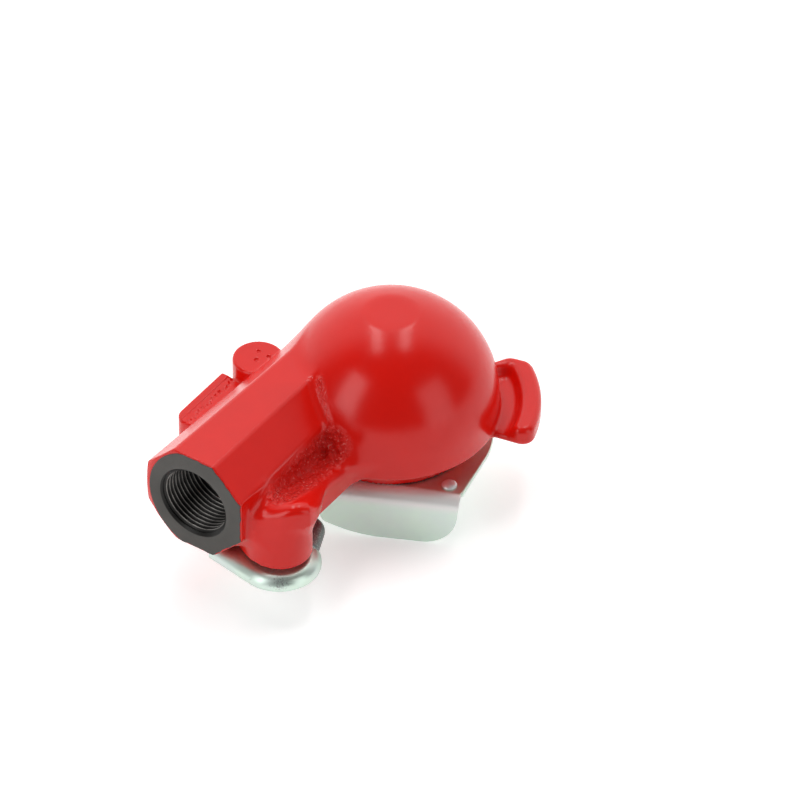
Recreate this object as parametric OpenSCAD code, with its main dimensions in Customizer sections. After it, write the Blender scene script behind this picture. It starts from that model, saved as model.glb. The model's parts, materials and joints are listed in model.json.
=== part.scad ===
// Air brake coupling head with a swinging dust cover, all sizes in millimetres.
// Frame: origin on the sealing axis in the coupling plane, +Z up through the dome,
// -X towards the mouth of the threaded neck, +Y on the claw side.

/* [Dome] */
// radius of the dome
dome_r = 31.4; // [28:0.1:36]
// height of the dome's centre over the coupling plane
dome_z = 14.25; // [12:0.05:18]
// radius of the flat spot on top of the dome
flat_r = 7.5; // [4:0.1:10]
// height of the lower edge of the dome's skirt
skirt_z = 7.5; // [5:0.1:10]
// wall of the hollow dome
dome_wall = 5.8; // [4:0.1:8]
// radius of the collar round the seal
collar_r = 24; // [22:0.1:27]

/* [Neck] */
// distance of the mouth from the sealing axis
mouth_dist = 74.8; // [65:0.1:95]
// sideways offset of the neck
neck_y = 17.0; // [10:0.1:20]
// height of the neck's axis
neck_z = 17.4; // [16:0.1:24]
// width across the flats of the octagonal neck at the mouth
neck_af = 33.4; // [30:0.1:38]
// width across the flats where the neck runs into the dome
neck_af_in = 28.0; // [24:0.1:33]
// distance of the neck's inner end from the sealing axis
neck_in_dist = 4.0; // [2:0.5:12]
// radius of the turned mouth face
face_r = 17.9; // [15:0.1:19]
// sideways offset of the turned mouth face
face_off = 2.6; // [0:0.1:4]
// depth of the slope round the turned mouth face
face_slope = 0.8; // [0.4:0.1:4]

/* [Port] */
// nominal diameter of the port thread
thread_d = 22; // [18:1:24]
// pitch of the port thread
thread_pitch = 1.5; // [1:0.25:2]
// depth of the thread
thread_depth = 22; // [14:0.5:28]
// how far the lead-in opens past the thread's nominal radius
lead_over = 0.4; // [0:0.05:1]
// radius of the air passage behind the thread
passage_r = 8.5; // [6:0.1:9.5]

/* [Pivot boss] */
// position of the pivot along the neck
pivot_x = -62.1; // [-66:0.1:-56]
// position of the pivot across the neck
pivot_y = -3.9; // [-6:0.1:-2]
// radius of the boss
boss_r = 9.6; // [8.5:0.1:11]
// height of the boss
boss_h = 22.5; // [18:0.1:24]
// rounding of the boss's upper edge
boss_round = 2; // [1:0.1:5]
// distance of the web's outer wall from the pivot
web_r = 4.7; // [3:0.1:6]
// height of the web's ridge
web_top = 17.5; // [14:0.1:19]
// rounding of the web's ridge
web_round = 3.5; // [1:0.1:4]
// height of the web's lower edge
web_bottom = 6.8; // [5:0.1:8]
// height at which the web's sloping top meets the neck
valley_z = 20; // [19:0.1:22]
// how far the web's slope runs from the pivot's line to the neck
valley_run = 4.4; // [3.5:0.1:5.2]
// how far the web reaches from the pivot's line into the neck
valley_w = 9.5; // [8:0.1:10]

/* [Lug] */
// outer radius of the lug
lug_r = 43.5; // [40:0.1:48]
// width of the lug's raised lip
lip_w = 5.0; // [3:0.1:7]
// height of the lug's floor
lug_floor = 10.0; // [9:0.1:11.5]
// height of the lug's lip
lip_z = 13.5; // [12:0.1:15]
// middle angle of the lug
lug_mid = -52.5; // [-65:0.5:-45]
// angle the lug spans
lug_span = 50; // [30:0.5:60]
// angle of the wall that closes the lug's far end
lug_wall = 6; // [3:0.5:10]
// direction of the slanted cut on the lug's far corner
lug_cut_turn = 14; // [0:0.5:30]
// distance of the slanted cut from the sealing axis
lug_cut = 28.6; // [26:0.1:34]
// rounding of the lip's edges
lip_round = 1.6; // [0.5:0.1:2.2]

/* [Shoulder and claw] */
// outer edge of the shoulder
shoulder_y = 43.5; // [40:0.1:46]
// shoulder's end nearest the mouth
shoulder_x0 = -47.5; // [-52:0.1:-40]
// shoulder's end nearest the knob
shoulder_x1 = -23; // [-26:0.1:-18]
// height of the shoulder's top
shoulder_top = 17.5; // [14:0.1:20]
// height of the shoulder's underside
shoulder_bottom = 6; // [3:0.1:9]
// rounding of the shoulder's outer corner
shoulder_round = 4; // [1:0.1:6]
// radius of the knob
knob_r = 7.5; // [6:0.1:9]
// knob's position along the neck
knob_x = -16; // [-18:0.1:-13]
// knob's position across the neck
knob_y = 35.6; // [33:0.1:38]
// height of the knob's top
knob_top = 22; // [19:0.1:26]
// gap between a mating lug and the claw's wall
claw_gap = 0.7; // [0.3:0.05:1.5]
// gap between a mating lug and the claw's lip
claw_lip_gap = 0.5; // [0.2:0.05:1]
// thickness of the claw's wall
claw_wall = 4.3; // [3:0.1:6]
// thickness of the claw's lip
claw_lip = 3.4; // [3:0.1:6]
// middle angle of the claw
claw_mid = 129; // [120:0.5:135]
// angle the claw spans
claw_span = 24; // [15:0.5:36]
// rounding of the claw's lower edges
claw_round = 1.6; // [0.5:0.1:2]

/* [Seal] */
// outer radius of the sealing ring
seal_r = 20; // [17:0.1:21]
// inner radius of the sealing ring
seal_in_r = 11; // [9:0.1:13]
// height of the sealing ring
seal_h = 8.3; // [6:0.1:10]
// width of the raised sealing lip
seal_lip_w = 4.6; // [3:0.1:6]
// depth of the step beside the sealing lip
seal_step = 1.4; // [0.5:0.1:3]
// radius of the opening above the sealing ring
throat_r = 14; // [11:0.1:16]

/* [Cover] */
// thickness of the cover's sheet
sheet = 1.5; // [1:0.1:2]
// gap between the cover and the coupling plane
cover_gap = 0.3; // [0.3:0.05:1]
// outer radius of the cover's bends
bend_r = 2.4; // [1.8:0.1:4]
// radius of the cover's disc under the seal
cover_r = 29.8; // [27:0.1:31]
// radius of the cover's rounded tail
tail_r = 12.2; // [11:0.1:15]
// depth of the tail's turned-down rim
rim_h = 4.4; // [3:0.1:6]
// length of the tail's straight end edge
tail_edge = 16.5; // [12:0.5:26]
// angle of the tail's straight end edge
tail_turn = 170.4; // [160:0.1:180]
// radius of the rounded ear beside the tail
ear_r = 5; // [4:0.1:7]
// ear's position along the neck
ear_x = -46.5; // [-50:0.1:-44]
// ear's position across the neck
ear_y = -2.9; // [-5:0.1:-2]
// direction the ear's straight rim faces
ear_turn = -67.5; // [-80:0.5:-50]
// length of the ear's straight rim
ear_edge = 6.5; // [3:0.5:9]
// distance of the grip flange's face from the sealing axis
grip_dist = 27.5; // [26:0.1:30]
// direction the grip flange faces
grip_turn = 205.2; // [200:0.1:212]
// depth of the grip flange
grip_h = 17.1; // [12:0.1:22]
// depth of the grip flange at its shallow end
grip_h_end = 11; // [6:0.1:14]
// half length of the grip flange towards its rounded corner
grip_out = 23.7; // [18:0.1:28]
// length of the grip flange towards the tail
grip_in = 16.5; // [12:0.1:20]
// rounding of the grip flange's lower corner
grip_round = 10.5; // [3:0.1:12]
// direction of the cover's straight free edge
edge_turn = 279.3; // [270:0.1:290]

/* [Stop rivet] */
// rivet's position along the neck
rivet_x = -10.2; // [-13:0.1:-8]
// rivet's position across the neck
rivet_y = -27.4; // [-28:0.1:-26.5]
// radius of the rivet's head
rivet_head_r = 2.25; // [2:0.05:2.8]
// height of the rivet's head
rivet_head_h = 1.1; // [0.6:0.05:2]
// radius of the rivet's shank
rivet_r = 1.5; // [1:0.05:1.8]

/* [Pivot pin] */
// radius of the pivot pin
pin_r = 4; // [3:0.1:5]
// running clearance between pin and cover
pin_clear = 0.06; // [0.02:0.01:0.1]
// depth of the pin in the boss
pin_depth = 9; // [6:0.1:9.5]
// radius of the pin's head
pin_head_r = 7; // [5.5:0.1:8.5]
// thickness of the pin's head
pin_head_h = 2.2; // [1.5:0.1:3]
// play between the cover and the pin's head
pin_play = 0.3; // [0.3:0.05:0.6]

/* [Hidden] */
$fn = 96;
eps = 0.01;
mouth_x = -mouth_dist;
minor_r = thread_d / 2 - 0.5413 * thread_pitch;
lead_r = thread_d / 2 + lead_over;
flat_z = dome_z + sqrt(dome_r * dome_r - flat_r * flat_r);
cavity_r = dome_r - dome_wall;
lip_in_r = lug_r - lip_w;
claw_in_r = lug_r + claw_gap;
claw_out_r = claw_in_r + claw_wall;
claw_lip_z = -(lip_z + claw_lip_gap);
claw_low = claw_lip_z - claw_lip;
tooth_out_r = lip_in_r - claw_gap;
tooth_in_r = tooth_out_r - 4;
tooth_z = -(lug_floor + 0.6);
bend_in = bend_r - sheet;
rim_lap = 1.6;
tail_in = tail_r - bend_r - 0.6;
ear_in = ear_r - bend_r - 0.6;
cover_top = -cover_gap;
grip_flat = grip_dist - bend_r;

// points of an arc about c
function arc(c, r, a0, a1, n) =
    [for (i = [0:n]) [c[0] + r * cos(a0 + (a1 - a0) * i / n), c[1] + r * sin(a0 + (a1 - a0) * i / n)]];

// point at distance a along the grip's facing and s along its bend
function grip_pt(a, s) =
    [a * cos(grip_turn) + s * cos(grip_turn + 90), a * sin(grip_turn) + s * sin(grip_turn + 90)];

module dome() {
    intersection() {
        translate([0, 0, dome_z])
            sphere(r = dome_r);
        translate([-dome_r - 1, -dome_r - 1, dome_z])
            cube([2 * dome_r + 2, 2 * dome_r + 2, flat_z - dome_z]);
    }
    translate([0, 0, skirt_z])
        cylinder(r = dome_r, h = dome_z - skirt_z);
    cylinder(r = collar_r, h = skirt_z + eps);
}

// octagonal neck with its mouth face turned slightly off centre
module neck() {
    translate([mouth_x, neck_y, neck_z])
        rotate([0, 90, 0])
            difference() {
                rotate([0, 0, 22.5])
                    cylinder(r1 = neck_af / 2 / cos(22.5), r2 = neck_af_in / 2 / cos(22.5),
                        h = mouth_dist - neck_in_dist, $fn = 8);
                translate([0, -face_off, 0])
                    rotate_extrude()
                        polygon([[face_r, -eps], [face_r + 5, -eps],
                            [face_r + 5, 5 * face_slope / 2], [face_r, 0]]);
            }
}

module boss() {
    translate([pivot_x, pivot_y, 0])
        rotate_extrude()
            polygon(concat([[0, 0], [boss_r, 0]],
                arc([boss_r - boss_round, boss_h - boss_round], boss_round, 0, 90, 8),
                [[0, boss_h]]));
}

// web from the boss to the dome, with a rounded ridge and a top that slopes up to the neck
module web() {
    translate([pivot_x, pivot_y, 0])
        rotate([90, 0, 90])
            linear_extrude(height = -pivot_x - dome_r + 6)
                polygon(concat([[-web_r, web_bottom], [valley_w, web_bottom], [valley_w, valley_z],
                    [valley_run, valley_z]],
                    arc([web_round - web_r, web_top - web_round], web_round, 90, 180, 10)));
}

module lug() {
    difference() {
        rotate([0, 0, lug_mid - lug_span / 2])
            rotate_extrude(angle = lug_span)
                polygon(concat([[dome_r - 4, skirt_z + 0.1], [lug_r - 1, skirt_z + 0.1],
                    [lug_r, skirt_z + 1.1]],
                    arc([lug_r - lip_round, lip_z - lip_round], lip_round, 0, 90, 6),
                    [[dome_r - 4, lip_z]]));
        rotate([0, 0, lug_mid - lug_span / 2 - 2])
            rotate_extrude(angle = lug_span - lug_wall + 2)
                polygon(concat([[dome_r - 5, lip_z + 1], [dome_r - 5, lug_floor], [lip_in_r, lug_floor]],
                    arc([lip_in_r + lip_round, lip_z - lip_round], lip_round, 180, 100, 6),
                    [[lip_in_r + lip_round, lip_z + 1]]));
        rotate([0, 0, lug_cut_turn])
            translate([lug_cut, -60, skirt_z - 1])
                cube([40, 120, lip_z]);
    }
}

module shoulder() {
    translate([0, 0, shoulder_bottom])
        linear_extrude(height = shoulder_top - shoulder_bottom)
            union() {
                translate([shoulder_x0 + shoulder_round, neck_y])
                    square([shoulder_x1 - shoulder_x0 - shoulder_round, shoulder_y - neck_y]);
                translate([shoulder_x0, neck_y])
                    square([shoulder_round + 1, shoulder_y - neck_y - shoulder_round]);
                translate([shoulder_x0 + shoulder_round, shoulder_y - shoulder_round])
                    circle(r = shoulder_round);
            }
    translate([knob_x, knob_y, shoulder_bottom])
        cylinder(r = knob_r, h = knob_top - shoulder_bottom);
}

// hook that reaches under a mating lug
module claw() {
    rotate([0, 0, claw_mid - claw_span / 2])
        rotate_extrude(angle = claw_span)
            polygon(concat([[claw_in_r, shoulder_bottom + 6]],
                [[claw_out_r, shoulder_bottom + 6]],
                arc([claw_out_r - claw_round, claw_low + claw_round], claw_round, 0, -90, 6),
                arc([tooth_in_r + claw_round, claw_low + claw_round], claw_round, 270, 180, 6),
                [[tooth_in_r, tooth_z], [tooth_out_r, tooth_z],
                [tooth_out_r, claw_lip_z], [claw_in_r, claw_lip_z]]));
}

// air way from the port through the dome to the seal
module air_way() {
    translate([mouth_x, neck_y, neck_z])
        rotate([0, 90, 0]) {
            translate([0, 0, -eps])
                cylinder(r1 = lead_r, r2 = minor_r, h = lead_r - minor_r + eps);
            translate([0, 0, -eps])
                cylinder(r = minor_r, h = thread_depth + eps);
            cylinder(r = passage_r, h = mouth_dist - 14);
        }
    intersection() {
        translate([0, 0, dome_z])
            sphere(r = cavity_r);
        translate([-dome_r, -dome_r, seal_h + 3])
            cube([2 * dome_r, 2 * dome_r, dome_r + dome_z]);
    }
    translate([0, 0, seal_h - eps])
        cylinder(r = throat_r, h = 6);
    translate([0, 0, -eps])
        cylinder(r = seal_r, h = seal_h + eps);
}

module body() {
    color([0.75, 0.13, 0.11])
        difference() {
            union() {
                dome();
                neck();
                boss();
                web();
                lug();
                shoulder();
                claw();
            }
            air_way();
            translate([pivot_x, pivot_y, -eps])
                cylinder(r = pin_r, h = pin_depth + eps);
        }
}

module seal_ring() {
    color([0.08, 0.08, 0.08])
        rotate_extrude()
            polygon([[seal_in_r, 0.6], [seal_in_r + 0.6, 0], [seal_in_r + seal_lip_w, 0],
                [seal_in_r + seal_lip_w + 0.8, seal_step], [seal_r, seal_step],
                [seal_r, seal_h], [seal_in_r + 1.5, seal_h], [seal_in_r, seal_h - 1.5]]);
}

// section of a turned-down rim whose outer face stands at radius r
module rim_section(r) {
    polygon(concat([[r - bend_r - rim_lap, 0], [r - bend_r, 0]],
        arc([r - bend_r, -bend_r], bend_r, 90, 0, 8),
        [[r, -rim_h], [r - sheet, -rim_h]],
        arc([r - bend_r, -bend_r], bend_in, 0, 90, 6),
        [[r - bend_r - rim_lap, -sheet]]));
}

// flat part of the cover seen from above
module cover_plan() {
    difference() {
        union() {
            circle(r = cover_r);
            polygon([[0, 0], grip_pt(grip_flat - 0.2, -grip_in),
                grip_pt(grip_flat - 0.2, grip_out + 0.3),
                [(cover_r - 0.05) * cos(edge_turn), (cover_r - 0.05) * sin(edge_turn)]]);
            polygon([grip_pt(grip_flat - 3, -grip_in - 0.3), [ear_x + ear_in, 4.4],
                [ear_x + ear_in, ear_y], [pivot_x, pivot_y],
                [pivot_x + (tail_in - 0.3) * cos(tail_turn), pivot_y + (tail_in - 0.3) * sin(tail_turn)],
                [pivot_x + (tail_in - 0.3) * cos(tail_turn) + (tail_edge + 0.6) * sin(tail_turn),
                    pivot_y + (tail_in - 0.3) * sin(tail_turn) - (tail_edge + 0.6) * cos(tail_turn)],
                [-9, 28.2], [0, 0]]);
            translate([pivot_x, pivot_y])
                circle(r = tail_in);
            translate([ear_x, ear_y])
                circle(r = ear_in + 0.2);
            translate([ear_x, ear_y])
                rotate(ear_turn)
                    translate([-ear_r - 1.5, -ear_edge + 0.4])
                        square([ear_r + 1.5 + ear_in, ear_edge]);
        }
        rotate(grip_turn)
            translate([grip_flat - 0.5, -grip_in - 0.7])
                square([14, 60]);
    }
}

// grip flange with its bend, built along +X and turned into place
module grip() {
    rotate([0, 0, grip_turn]) {
        translate([0, grip_out, 0])
            rotate([90, 0, 0])
                linear_extrude(height = grip_out + grip_in)
                    polygon(concat([[grip_flat - rim_lap, 0], [grip_flat, 0]],
                        arc([grip_flat, -bend_r], bend_r, 90, 0, 8),
                        [[grip_dist, -bend_r - 0.5], [grip_dist - sheet, -bend_r - 0.5]],
                        arc([grip_flat, -bend_r], bend_in, 0, 90, 6),
                        [[grip_flat - rim_lap, -sheet]]));
        translate([grip_dist - sheet, 0, 0])
            rotate([90, 0, 90])
                linear_extrude(height = sheet)
                    polygon(concat([[-grip_in, -bend_r], [-grip_in, -grip_h_end]],
                        arc([2, -grip_h + 40], 40, 244, 270, 8),
                        arc([grip_out - grip_round, -grip_h + grip_round], grip_round, 270, 360, 10),
                        [[grip_out, -bend_r]]));
    }
}

module dust_cover() {
    color([0.8, 0.82, 0.82])
        translate([0, 0, cover_top])
            difference() {
                union() {
                    translate([0, 0, -sheet])
                        linear_extrude(height = sheet)
                            cover_plan();
                    grip();
                    translate([pivot_x, pivot_y, 0])
                        rotate([0, 0, tail_turn])
                            rotate_extrude(angle = 318 - tail_turn)
                                rim_section(tail_r);
                    translate([pivot_x, pivot_y, 0])
                        rotate([0, 0, tail_turn])
                            rotate([90, 0, 0])
                                linear_extrude(height = tail_edge)
                                    rim_section(tail_r);
                    translate([ear_x, ear_y, 0])
                        rotate([0, 0, ear_turn])
                            rotate_extrude(angle = 20 - ear_turn)
                                rim_section(ear_r);
                    translate([ear_x, ear_y, 0])
                        rotate([0, 0, ear_turn])
                            rotate([90, 0, 0])
                                linear_extrude(height = ear_edge)
                                    rim_section(ear_r);
                }
                translate([pivot_x, pivot_y, -sheet - 1])
                    cylinder(r = pin_r + pin_clear, h = sheet + 2);
                translate([rivet_x, rivet_y, -sheet - 1])
                    cylinder(r = rivet_r, h = sheet + 2);
            }
}

module stop_rivet() {
    color([0.75, 0.76, 0.78])
        translate([rivet_x, rivet_y, cover_top]) {
            cylinder(r1 = rivet_head_r, r2 = rivet_head_r - 0.4, h = rivet_head_h);
            translate([0, 0, -sheet])
                cylinder(r = rivet_r, h = sheet + eps);
            translate([0, 0, -sheet - 0.9])
                cylinder(r1 = rivet_head_r - 0.4, r2 = rivet_head_r, h = 0.9);
        }
}

module pivot_pin() {
    color([0.6, 0.6, 0.62])
        translate([pivot_x, pivot_y, cover_top - sheet - pin_play]) {
            cylinder(r = pin_r, h = pin_depth + cover_gap + sheet + pin_play);
            translate([0, 0, -pin_head_h])
                cylinder(r1 = pin_head_r - 0.5, r2 = pin_head_r, h = pin_head_h);
        }
}

body();
seal_ring();
dust_cover();
stop_rivet();
pivot_pin();
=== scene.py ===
"""Looks of the air brake coupling head: painted casting, bare threaded port, plated dust cover."""
import json
import logging
import math
from dataclasses import dataclass, field
from enum import Enum
from typing import Callable, NamedTuple, Sequence

import bpy
import numpy as np
from mathutils import Matrix, Vector


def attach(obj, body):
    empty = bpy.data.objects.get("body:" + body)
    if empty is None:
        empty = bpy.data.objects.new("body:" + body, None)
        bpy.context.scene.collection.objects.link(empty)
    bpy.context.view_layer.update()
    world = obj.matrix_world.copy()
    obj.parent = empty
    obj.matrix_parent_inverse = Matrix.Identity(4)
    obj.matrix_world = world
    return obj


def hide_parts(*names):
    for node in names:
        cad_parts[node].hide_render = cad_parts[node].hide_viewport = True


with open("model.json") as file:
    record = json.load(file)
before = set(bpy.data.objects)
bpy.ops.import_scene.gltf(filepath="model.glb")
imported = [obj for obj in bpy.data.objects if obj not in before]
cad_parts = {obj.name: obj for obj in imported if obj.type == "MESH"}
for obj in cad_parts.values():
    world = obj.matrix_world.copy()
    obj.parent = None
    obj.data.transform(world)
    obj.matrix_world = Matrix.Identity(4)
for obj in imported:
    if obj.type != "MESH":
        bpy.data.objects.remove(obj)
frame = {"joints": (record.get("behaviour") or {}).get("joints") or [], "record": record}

log = logging.getLogger("coupling_head")
MM = 0.001
Points = np.ndarray
Spot = tuple[float, float]
Place = tuple[float, float, float]
Tone = tuple[float, float, float]
Profile = tuple[tuple[float, float, float], ...]
Field = Callable[[Points], np.ndarray]


# Places that several pieces share, all in millimetres

def place_of(rows: Sequence[dict], name: str) -> Place:
    """Look up where one of the frame's joints or mounts stands.

    Args:
        rows: The frame's joints or its mounts.
        name: The name of the joint or mount.

    Returns:
        Its place in millimetres.
    """
    row = next(row for row in rows if row["name"] == name)
    x, y, z = (round(value / MM, 3) for value in row["pos_m"])
    return x, y, z


PIVOT: Spot = place_of(frame["joints"], "cover_swing")[:2]
PORT_AXIS: Spot = place_of(frame["record"]["mounts"], "port")[1:]
RIVET: Spot = (-10.2, -27.4)


@dataclass(frozen=True)
class Mouth:
    """What the casting and the bare port share about the mouth of the neck."""

    x: float = -74.8
    axis: Spot = PORT_AXIS
    half: float = 16.7
    face_r: float = 17.9
    face_off: float = 2.6
    depth: float = 22.0
    sleeve_r: float = 12.5
    passage_r: float = 8.5


# Distance fields, all in millimetres

def share_between(value: np.ndarray, start: float | np.ndarray, width: float) -> np.ndarray:
    """Rise evenly from 0 to 1.

    Args:
        value: Where each point is.
        start: Where the rise begins.
        width: How long it takes, negative if it runs backwards.

    Returns:
        One share for each point.
    """
    return np.clip((value - start) / width, 0.0, 1.0)


def ease(share: np.ndarray) -> np.ndarray:
    """Soften both ends of a rise from 0 to 1."""
    return share * share * (3.0 - 2.0 * share)


def blend_in(a: np.ndarray, b: np.ndarray, k: float | np.ndarray) -> np.ndarray:
    """Join two fields with a cast fillet.

    Args:
        a: Distances to the first form.
        b: Distances to the second form.
        k: Width over which the two run together.

    Returns:
        Distances to the joined form.
    """
    h = np.clip(0.5 + 0.5 * (b - a) / k, 0.0, 1.0)
    return b + (a - b) * h - k * h * (1.0 - h)


def trim(a: np.ndarray, b: np.ndarray, k: float) -> np.ndarray:
    """Keep what lies in both fields, with the edge between them rounded.

    Args:
        a: Distances to the first form.
        b: Distances to the second form.
        k: Width of the rounding.

    Returns:
        Distances to the common form.
    """
    return -blend_in(-a, -b, k)


def rounded_pair(a: np.ndarray, b: np.ndarray, r: float) -> np.ndarray:
    """Corner of two faces with a true edge radius.

    Args:
        a: Distance past the first face.
        b: Distance past the second face.
        r: Edge radius.

    Returns:
        Distances to the rounded corner.
    """
    u, v = a + r, b + r
    return np.hypot(np.maximum(u, 0), np.maximum(v, 0)) + np.minimum(np.maximum(u, v), 0) - r


def polygon_field(x: np.ndarray, y: np.ndarray, corners: Sequence[Spot]) -> np.ndarray:
    """Signed distance to a flat polygon.

    Args:
        x: First coordinates.
        y: Second coordinates.
        corners: The polygon's corners in order.

    Returns:
        Distances, negative inside.
    """
    best = np.full(x.shape, 1e12)
    inside = np.zeros(x.shape, bool)
    for (ax, ay), (bx, by) in zip(corners, list(corners[1:]) + [corners[0]]):
        ex, ey = bx - ax, by - ay
        px, py = x - ax, y - ay
        t = np.clip((px * ex + py * ey) / (ex * ex + ey * ey), 0.0, 1.0)
        best = np.minimum(best, (px - ex * t) ** 2 + (py - ey * t) ** 2)
        if ay != by:
            inside ^= ((ay > y) != (by > y)) & (x < ex * (y - ay) / ey + ax)
    return np.where(inside, -1.0, 1.0) * np.sqrt(best)


def ball(p: Points, x: float | np.ndarray, y: float | np.ndarray, z: float, r: float) -> np.ndarray:
    """Distance to a ball.

    Args:
        p: Points in millimetres.
        x: First coordinate of its centre.
        y: Second coordinate of its centre.
        z: Height of its centre.
        r: Its radius.

    Returns:
        One distance for each point, negative inside.
    """
    return np.sqrt((p[:, 0] - x) ** 2 + (p[:, 1] - y) ** 2 + (p[:, 2] - z) ** 2) - r


@dataclass
class Grit:
    """Smooth lattice noise with a fixed seed, for rough cast skin."""

    seed: int = 7
    size: int = 32
    shift: float = 100.0

    def __post_init__(self) -> None:
        """Draw the lattice."""
        draw = np.random.default_rng(self.seed)
        self.lattice = draw.uniform(-1.0, 1.0, (self.size, self.size, self.size))

    def __call__(self, p: Points, scale: float) -> np.ndarray:
        """Sample the noise.

        Args:
            p: Points in millimetres.
            scale: Distance between lattice points.

        Returns:
            Values between -1 and 1.
        """
        q = p / scale + self.shift
        i = np.floor(q).astype(np.int64)
        f = ease(q - i)
        out = np.zeros(len(p))
        for dx in (0, 1):
            for dy in (0, 1):
                for dz in (0, 1):
                    w = np.abs(1 - dx - f[:, 0]) * np.abs(1 - dy - f[:, 1]) * np.abs(1 - dz - f[:, 2])
                    j = (i + (dx, dy, dz)) % self.size
                    out += w * self.lattice[j[:, 0], j[:, 1], j[:, 2]]
        return out


# Meshes

@dataclass
class SkinNet:
    """Turns a distance field into a clean quad skin."""

    low: Place
    high: Place
    step: float
    settle: int = 3
    slab: int = 12
    probe: float = 0.02
    stride: float = 0.4
    least_slope: float = 0.2

    def sample(self, field_of: Field) -> np.ndarray:
        """Fill a grid with the field's values, a slab at a time.

        Args:
            field_of: The distance field.

        Returns:
            The grid of values.
        """
        axes = [np.arange(a, b + self.step, self.step) for a, b in zip(self.low, self.high)]
        values = np.empty([len(a) for a in axes], np.float32)
        for i in range(0, len(axes[0]), self.slab):
            xs = axes[0][i:i + self.slab]
            grid = np.stack(np.meshgrid(xs, axes[1], axes[2], indexing="ij"), -1).reshape(-1, 3)
            values[i:i + self.slab] = field_of(grid).reshape(len(xs), len(axes[1]), len(axes[2]))
        return values

    def slope(self, field_of: Field, p: Points) -> np.ndarray:
        """Gradient of a field by central differences.

        Args:
            field_of: The distance field.
            p: Points to measure at.

        Returns:
            One gradient for each point.
        """
        cols = []
        for k in range(3):
            d = np.zeros(3)
            d[k] = self.probe
            cols.append((field_of(p + d) - field_of(p - d)) / (2 * self.probe))
        return np.stack(cols, -1)

    def crossings(self, values: np.ndarray, cells: np.ndarray) -> np.ndarray:
        """Mean place, inside each cell, of the points where its edges cross the skin.

        Args:
            values: The grid of values.
            cells: Numbers of the cells that the skin runs through.

        Returns:
            One vertex for each cell, in millimetres.
        """
        total = np.zeros((len(cells), 3))
        hits = np.zeros(len(cells))
        corners = [(i, j, k) for i in (0, 1) for j in (0, 1) for k in (0, 1)]
        for c in corners:
            for k in range(3):
                if c[k]:
                    continue
                d = list(c)
                d[k] = 1
                a = values[tuple((cells + c).T)]
                b = values[tuple((cells + d).T)]
                cross = (a < 0) != (b < 0)
                t = np.where(cross, a / np.where(cross, a - b, 1.0), 0.0)
                spot = np.tile(np.array(c, float), (len(cells), 1))
                spot[:, k] += t
                total += spot * cross[:, None]
                hits += cross
        return np.array(self.low) + (cells + total / hits[:, None]) * self.step

    @staticmethod
    def faces(inside: np.ndarray, number: np.ndarray) -> np.ndarray:
        """One quad round each grid edge that crosses the skin.

        Args:
            inside: Which grid points lie inside.
            number: The vertex number of each cell.

        Returns:
            The quads as vertex numbers.
        """
        quads = []
        for k in range(3):
            u, v = (k + 1) % 3, (k + 2) % 3
            head = [slice(1, -1)] * 3
            head[k] = slice(0, -1)
            tail = list(head)
            tail[k] = slice(1, None)
            a, b = inside[tuple(head)], inside[tuple(tail)]
            edge = np.argwhere(a != b)
            flip = a[tuple(edge.T)]
            edge = edge + [0 if n == k else 1 for n in range(3)]
            ring = []
            for du, dv in ((-1, -1), (0, -1), (0, 0), (-1, 0)):
                off = np.zeros(3, int)
                off[u], off[v] = du, dv
                ring.append(number[tuple((edge + off).T)])
            q = np.stack(ring, -1)
            q[~flip] = q[~flip][:, ::-1]
            quads.append(q)
        return np.concatenate(quads)

    def skin(self, field_of: Field) -> tuple[np.ndarray, np.ndarray, np.ndarray]:
        """Extract the field's zero surface and settle its vertices on it.

        Args:
            field_of: The distance field.

        Returns:
            Vertices in millimetres, quads, and one normal for each vertex.
        """
        values = self.sample(field_of)
        inside = values < 0
        nx, ny, nz = (n - 1 for n in values.shape)
        count = np.zeros((nx, ny, nz), np.int8)
        for i in (0, 1):
            for j in (0, 1):
                for k in (0, 1):
                    count += inside[i:i + nx, j:j + ny, k:k + nz]
        cells = np.argwhere((count > 0) & (count < 8))
        number = np.full(count.shape, -1, np.int64)
        number[tuple(cells.T)] = np.arange(len(cells))
        verts = self.crossings(values, cells)
        longest = self.stride * self.step
        for _ in range(self.settle):
            g = self.slope(field_of, verts)
            reach = field_of(verts) / np.maximum((g * g).sum(-1), self.least_slope)
            verts -= np.clip(reach, -longest, longest)[:, None] * g
        g = self.slope(field_of, verts)
        normals = g / np.maximum(np.linalg.norm(g, axis=1), 1e-9)[:, None]
        return verts, self.faces(inside, number), normals


def make_piece(name: str, verts: np.ndarray, faces: np.ndarray, body: str,
               normals: np.ndarray | None = None) -> bpy.types.Object:
    """Make a smooth mesh piece that rides on a body.

    Args:
        name: The piece's name.
        verts: Vertices in millimetres.
        faces: Faces as vertex numbers.
        body: The CAD body it moves with.
        normals: One shading normal for each vertex, if known.

    Returns:
        The new object.
    """
    mesh = bpy.data.meshes.new(name)
    mesh.from_pydata((verts * MM).tolist(), [], faces.tolist())
    mesh.polygons.foreach_set("use_smooth", [True] * len(mesh.polygons))
    if normals is not None:
        mesh.normals_split_custom_set_from_vertices(normals.tolist())
    mesh.update()
    obj = bpy.data.objects.new(name, mesh)
    bpy.context.scene.collection.objects.link(obj)
    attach(obj, body)
    return obj


def mark_skin(obj: bpy.types.Object, name: str, shares: np.ndarray) -> None:
    """Store a share from 0 to 1 at each vertex, for the finishes to read.

    Args:
        obj: The piece.
        name: The mark's name.
        shares: One share for each vertex.
    """
    mark = obj.data.attributes.new(name, "FLOAT", "POINT")
    mark.data.foreach_set("value", shares.astype(np.float32))


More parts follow.
